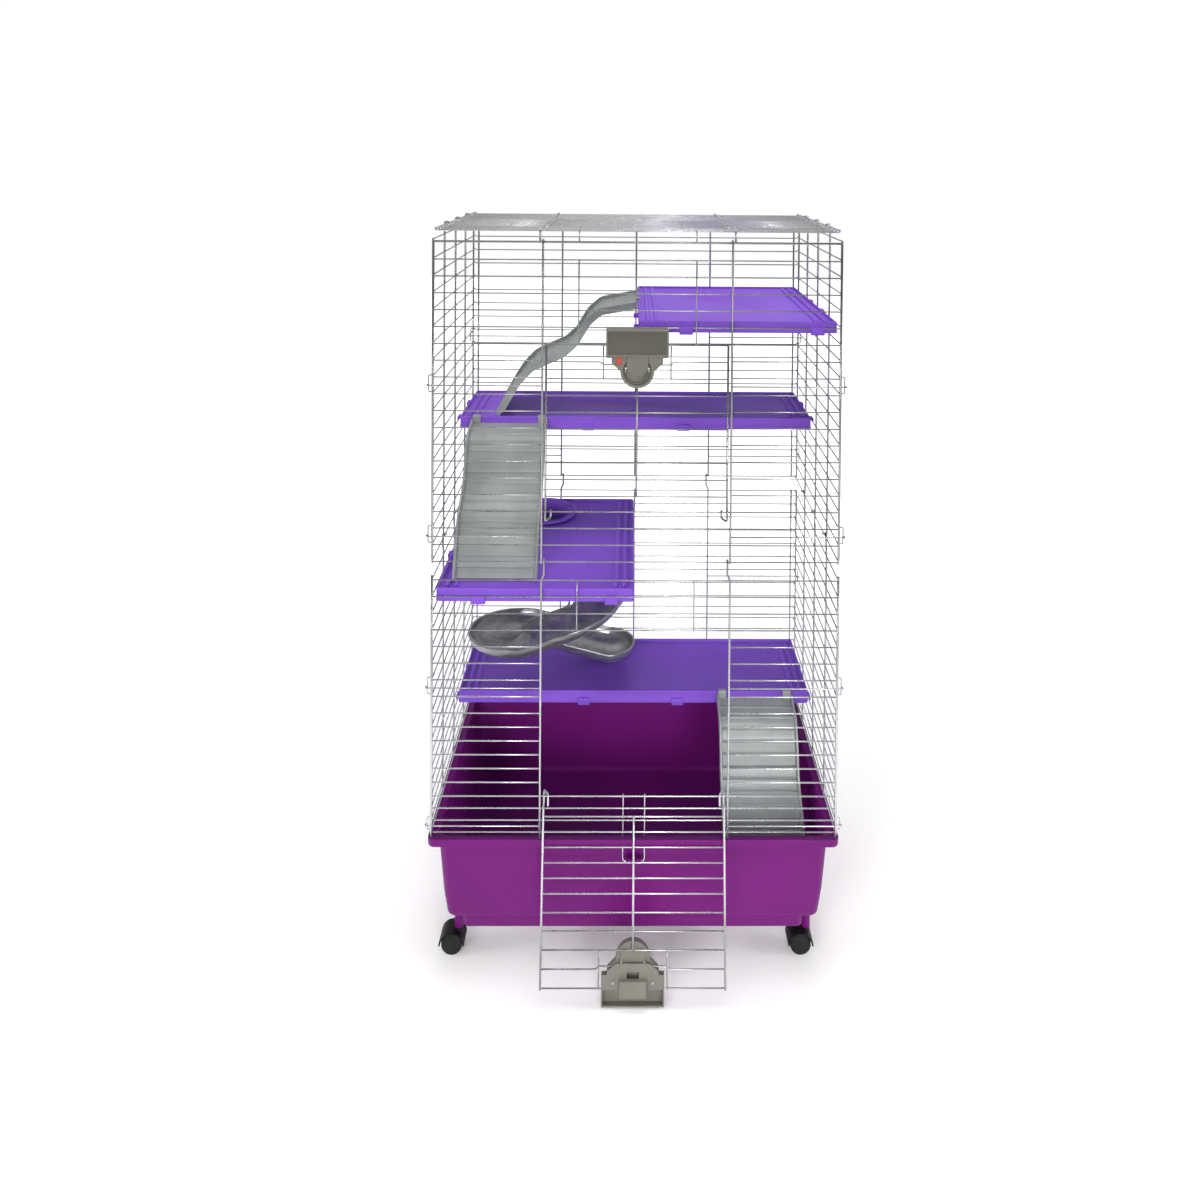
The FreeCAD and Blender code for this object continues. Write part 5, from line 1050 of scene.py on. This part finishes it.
RAMP_WAVE = np.array([
    (0.0, 0.0), (0.05, 0.01), (0.27, 0.06), (0.36, 0.16), (0.45, 0.35), (0.54, 0.45), (0.65, 0.51),
    (0.77, 0.58), (0.86, 0.70), (0.92, 0.82), (1.0, 1.0)])
RAMPS = {
    "ramp_upper": (290.0, "shelf_top_right", "shelf_upper_wide", (1.0, 100.5), 180),
    "ramp_middle": (190.0, "shelf_upper_wide", "shelf_middle_left", (-265.0, 10.0), -90),
    "ramp_lower": (175.0, "shelf_lower_wide", None, (255.0, 10.0), -90),
}


def ramp(name):
    """A closed cross section carried down a wave, lifted at each ridge.

    Station: the wave's point at a distance, with its slope smoothed. Ridge: rise times the cosine
    hump of the distance from the nearest ridge.
    """
    run, upper, lower, (x0, y0), turn = RAMPS[name]
    head = SHELVES[upper][2] - 13
    foot = 0.3 + 2.5 + (SHELVES[lower][2] - SHELF_SINK + 3.5 if lower else TUB_FOOT + 3)
    wave = RAMP_WAVE * (run, foot - head)
    distance = np.concatenate([[0], np.cumsum(np.linalg.norm(np.diff(wave, axis=0), axis=1))])
    length = distance[-1]
    s = np.linspace(0, length, 300)
    point = np.stack([np.interp(s, distance, wave[:, 0]), np.interp(s, distance, wave[:, 1])], axis=1)
    kernel = np.hanning(19) / np.hanning(19).sum()
    padded = np.pad(point, ((9, 9), (0, 0)), mode="reflect", reflect_type="odd")
    point = np.stack([np.convolve(padded[:, axis], kernel, "valid") for axis in range(2)], axis=1)
    slope = unit(np.gradient(point, axis=0))
    normal = np.stack([-slope[:, 1], slope[:, 0]], axis=1)
    pitch = length / 16
    near = np.abs((s / pitch) - np.round(s / pitch)) * pitch
    ridged = (s > pitch * 0.6) & (s < length - pitch * 0.6)
    lift = np.where(ridged, 2.2 * np.cos(np.clip(near / 2.6, 0, 1) * math.pi / 2), 0.0)
    half, rail = 80.0, 5.0
    inner = half - rail
    section = np.array([
        (-half, -7), (-half, 8.2), (-half + 0.8, 9), (-inner - 1, 9), (-inner, 8), (-inner, 1.2), (-inner + 1.2, 0),
        (inner - 1.2, 0), (inner, 1.2), (inner, 8), (inner + 1, 9), (half - 0.8, 9), (half, 8.2), (half, -7),
        (half - 1.6, -7), (half - 1.8, -2.6), (-half + 1.8, -2.6), (-half + 1.6, -7)])
    on_floor = np.zeros(len(section))
    on_floor[[6, 7]] = 1.0
    rise = section[:, 1] + on_floor * lift[:, None]
    rise[-1, section[:, 1] < 0] *= 0.1
    rise = np.where((np.arange(len(s)) > len(s) - 8)[:, None] & (section[:, 1] < -3), -2.6, rise)
    grid = np.stack([point[:, :1] + normal[:, :1] * rise, section[:, 0] + 0 * rise,
                     point[:, 1:] + normal[:, 1:] * rise], axis=-1)
    skin = Skin().add(grid)
    wall, lip = 3.0, 2.5
    back = -1.0 - lip - 0.3
    for start in (-half + 4, half - 20):
        path = [(wall / 2, -1.0), (wall / 2, 14.8), (back - wall / 2, 14.8), (back - wall / 2, 10.3)]
        strip = rounded([(px, 0, pz) for px, pz in path], 2.2, 5)
        direction = unit(np.gradient(strip, axis=0))
        aside = np.cross(direction, Y) * wall / 2
        loop = np.stack([strip - aside, strip + aside], axis=1)
        quad = np.stack([loop[:, 0] + Y * start, loop[:, 1] + Y * start, loop[:, 1] + Y * (start + 16),
                         loop[:, 0] + Y * (start + 16)], axis=1)
        skin.add(quad)
    place = Matrix.Translation((x0, y0, head)) @ Matrix.Rotation(math.radians(turn), 4, "Z")
    piece = skin.turned(place).piece("ridged_" + name, finish(ramp_plastic), 34)
    settle(piece, "cage", "ramp_plastic", name)


def make_ramps():
    for name in RAMPS:
        ramp(name)


def facing(name, depth):
    """Turns a plan drawn on X and Z, with its height towards the front, on to a door's latch."""
    flat = Matrix(((1, 0, 0, 0), (0, 0, -1, depth), (0, 1, 0, 0), (0, 0, 0, 1)))
    return door_place(name) @ flat


def latch_face(door):
    """The raised border and sunken panel of the case, the rim round its well and the ridge on the thumb pad."""
    heights, _, opening_top, _ = DOORS[door]
    body, top = door + "_door", heights[opening_top]
    case, panel = finish(latch_plastic), finish(latch_panel)
    middle = (0.0, top + 7.0)
    border = [(0.3, 0), (0, 0.6), (0, 1.6), (0.5, 2.4), (1.4, 2.8), (2.6, 2.8), (3.6, 2.2), (4.0, 1.2), (4.0, 0),
              (0.3, 0)]
    skin = Skin().add(bowl(middle, 57.0, 25.0, 5.0, border), caps=(False, False))
    skin.turned(facing(door, LATCH_FACE + 1.2))
    settle(skin.piece("border_%s_latch" % door, case, 50, merge=True), body, "latch_plastic")
    # The sunken panel gets the darkened latch finish: painted shade in the recess.
    bed = [(0, 0), (0, 0.5), (0.3, 0.8), (1.5, 0.8), (2.4, 0.35)]
    skin = Skin().add(bowl(middle, 53.4, 21.4, 3.0, bed)).turned(facing(door, LATCH_FACE + 1.1))
    settle(skin.piece("panel_%s_latch" % door, panel), body, "latch_plastic")
    path = arc((0, top - 45.0, 1.8), 24.2, math.radians(170), math.radians(370), X, Y, 52)
    dish = [(0.4, 0.0), (12, 0.1), (18, 0.7), (20.5, 1.8), (21.5, 1.8), (21.5, -0.8), (0.4, -0.8)]
    skin = Skin().add(tube(path, 2.4, Z, 16)).add(upright_spun((0.0, top - 50.0, 0.0), dish, 64))
    skin.turned(facing(door, LATCH_FACE + 12.8))
    settle(skin.piece("rim_%s_latch" % door, case, 50), body, "latch_plastic")
    path = arc((0, top - 41.0, 0), 15.5, math.radians(198), math.radians(342), X, Y, 28)
    skin = Skin().add(tube(path, 1.7, Z, 14, 0.6)).turned(facing(door, LATCH_FACE + 4.0))
    settle(skin.piece("ridge_%s_latch" % door, case, 50), door + "_latch", "latch_plastic")


def make_latches():
    """The latch pieces: softened copies of their solids, and the faces on the case and the pad."""
    soft = bpy.context.scene.cage_sizes.softness
    for door in DOORS:
        latch_face(door)
        body = door + "_door"
        for part, share, rides, slot, maker in (
                ("housing", 1.0, body, "latch_plastic", latch_plastic),
                ("backplate", 0.7, body, "latch_plastic", latch_plastic),
                ("slider", 0.8, door + "_latch", "latch_plastic", latch_plastic),
                ("indicator", 0.5, body, "indicator_red", signal_plastic),
                ("screws", 0.4, body, "screw_steel", plated_steel)):
            node = "%s_latch_%s" % (door, part)
            settle(softened(node, finish(maker), soft * share), rides, slot, node)


def make_casters():
    """Twin wheels turned about their axle, under a softened hood."""
    black, tread, steel = finish(caster_plastic), finish(tread_plastic), finish(plated_steel)
    near, far = 2.5, 16.0
    soft = bpy.context.scene.cage_sizes.softness
    for corner, (sx, sy) in CORNERS.items():
        swivel, roll = "caster_swivel_" + corner, "caster_wheels_" + corner
        node = "caster_hood_" + corner
        settle(softened(node, black, soft * 1.4, 3), swivel, "caster_plastic", node)
        axle = (CASTER_X * sx - 12, CASTER_Y * sy, 20.0)
        for number, side in enumerate(SIDES):
            profile = [(3.0, near), (17.5, near), (18.6, near + 0.4), (19.6, near + 1.4), (20, near + 3),
                       (20, far - 3.4), (19.5, far - 1.6), (18.4, far - 0.5), (17.2, far - 0.1), (16.6, far - 0.6),
                       (16.0, far - 0.2), (8.0, far + 0.1), (3.0, far + 0.1)]
            shape = spun(axle, [(radius, offset * side) for radius, offset in profile], 48)
            piece = Skin().add(shape).piece("wheel_%s_%d" % (corner, number + 1), tread, 32)
            settle(piece, roll, "caster_plastic", *([node.replace("hood", "wheels")] if number else []))
        for part in ("stem", "axle"):
            dress(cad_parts["caster_%s_%s" % (part, corner)], steel, 30)


def surroundings(world):
    """Even light for matt surfaces; white for the camera, and dark in front and low down where things shine."""
    world.use_nodes = True
    nodes = Nodes(world.node_tree)
    light, output = nodes.tree.nodes["Background"], nodes.tree.nodes["World Output"]
    light.inputs["Color"].default_value = (0.97, 0.98, 1, 1)
    light.inputs["Strength"].default_value = 0.42
    eye, gloss = (nodes.node("ShaderNodeLightPath", output=ray) for ray in ("Is Camera Ray", "Is Glossy Ray"))
    heading = nodes.node("ShaderNodeTexCoord", output="Generated")
    front = nodes.between(nodes.part(heading, "Y"), -0.4, 0.95, 0.05, 0.45)
    high = nodes.between(nodes.part(heading, "Z"), 0.6, 0.9, 0.04, 0.9)
    seen = nodes.node("ShaderNodeBackground", None, {"Color": eye.math("MAXIMUM", front.math("MAXIMUM", high))})
    mix = nodes.node("ShaderNodeMixShader", None, {0: eye.math("MAXIMUM", gloss), 1: Value(nodes, light.outputs[0]),
                                                   2: seen})
    nodes.join(output.inputs["Surface"], mix)


# Name, place, aim, width in metres, watts, spread in degrees, and whether shiny surfaces show it
LAMPS = (
    ("key", (-1.4, -2.8, 1.6), (0, 0, 0.3), 1.2, 6.5, 66, False),
    ("fill", (0.7, -3.1, 0.95), (0, 0, 0.3), 0.8, 5, 60, True),
    ("left", (-2.6, -0.5, 1.15), (0, 0, 0.2), 1.0, 2.5, 50, False),
    ("right", (2.6, -0.5, 1.15), (0, 0, 0.2), 1.0, 2.5, 50, False),
    ("top", (0, -0.1, 3.3), (0, 0, 0.7), 1.7, 54, 180, False),
    ("back", (0.3, 2.8, 1.6), (0, 0, 0.2), 1.6, 4, 64, False),
)


def lamp(name, place, aim, size, power, spread, shine):
    data = bpy.data.lights.new(name, "AREA")
    data.shape, data.size, data.energy, data.spread = "DISK", size, power, math.radians(spread)
    made = bpy.data.objects.new("lamp_" + name, data)
    bpy.context.scene.collection.objects.link(made)
    made.location, made.visible_glossy = place, shine
    made.rotation_euler = (Vector(aim) - Vector(place)).to_track_quat("-Z", "Y").to_euler()


def view_camera():
    """The photograph's camera, fitted to the cage's wires and shelves."""
    yaw, pitch, roll = (math.radians(angle) for angle in (0.526, 0.962, 0.448))
    ahead = Vector((math.sin(yaw) * math.cos(pitch), math.cos(yaw) * math.cos(pitch), -math.sin(pitch)))
    level = Vector((math.cos(yaw), -math.sin(yaw), 0))
    above = level.cross(ahead)
    right = level * math.cos(roll) + above * math.sin(roll)
    up = above * math.cos(roll) - level * math.sin(roll)
    data = bpy.data.cameras.new("view")
    data.sensor_width, data.lens = 36, 26.925
    data.shift_x, data.shift_y = -0.03267, -0.36125
    data.clip_end = 60
    camera = bpy.data.objects.new("view", data)
    bpy.context.scene.collection.objects.link(camera)
    turn = Matrix((right, up, -ahead)).transposed().to_4x4()
    camera.matrix_world = Matrix.Translation((-0.0144, -1.8648, 1.5468)) @ turn
    bpy.context.scene.camera = camera


def make_stage():
    """Pale floor, white surroundings, soft lamps and the camera."""
    scene = bpy.context.scene
    ground = Skin().add(np.array([[(-9000.0, -7000.0, 0.0), (9000.0, -7000.0, 0.0)],
                                  [(-9000.0, 9000.0, 0.0), (9000.0, 9000.0, 0.0)]]), wrap=False, caps=(False, False))
    floor = ground.piece("studio_floor", finish(studio_floor))
    scene.world = scene.world or bpy.data.worlds.new("studio")
    surroundings(scene.world)
    for settings in LAMPS:
        lamp(*settings)
    view_camera()
    scene.view_settings.view_transform = "Standard"


OPERATORS = (
    operator("Round wires of the panels, doors, roof and clips", make_wires),
    operator("The tub with its rim, ledge, skirt and caster sockets", make_tub),
    operator("The four moulded shelves and the ring of the way down", make_shelves),
    operator("The three lengths of the winding slide and its pegs", make_slide),
    operator("The three ridged ramps", make_ramps),
    operator("The two door latches", make_latches),
    operator("The four twin-wheel casters", make_casters),
    operator("Floor, lamps, surroundings and camera", make_stage),
)


class CAGE_PT_panel(bpy.types.Panel):
    """Lists the cage's operators, sizes and colours"""

    bl_label = "Multi-level cage"
    bl_idname = "CAGE_PT_panel"
    bl_space_type = "VIEW_3D"
    bl_region_type = "UI"
    bl_category = "Cage"

    def draw(self, context):
        for made in OPERATORS:
            self.layout.operator(made.bl_idname)
        for group in (context.scene.cage_sizes, context.scene.cage_colours):
            column = self.layout.column()
            for name in group.__annotations__:
                column.prop(group, name)


CLASSES = (CageSizes, CageColours, *OPERATORS, CAGE_PT_panel)


def register():
    for made in CLASSES:
        bpy.utils.register_class(made)
    bpy.types.Scene.cage_sizes = PointerProperty(type=CageSizes)
    bpy.types.Scene.cage_colours = PointerProperty(type=CageColours)


def unregister():
    del bpy.types.Scene.cage_colours
    del bpy.types.Scene.cage_sizes
    for made in reversed(CLASSES):
        bpy.utils.unregister_class(made)


def main():
    register()
    for made in OPERATORS:
        getattr(bpy.ops.cage, made.bl_idname.split(".")[1])()


if __name__ == "__main__":
    main()
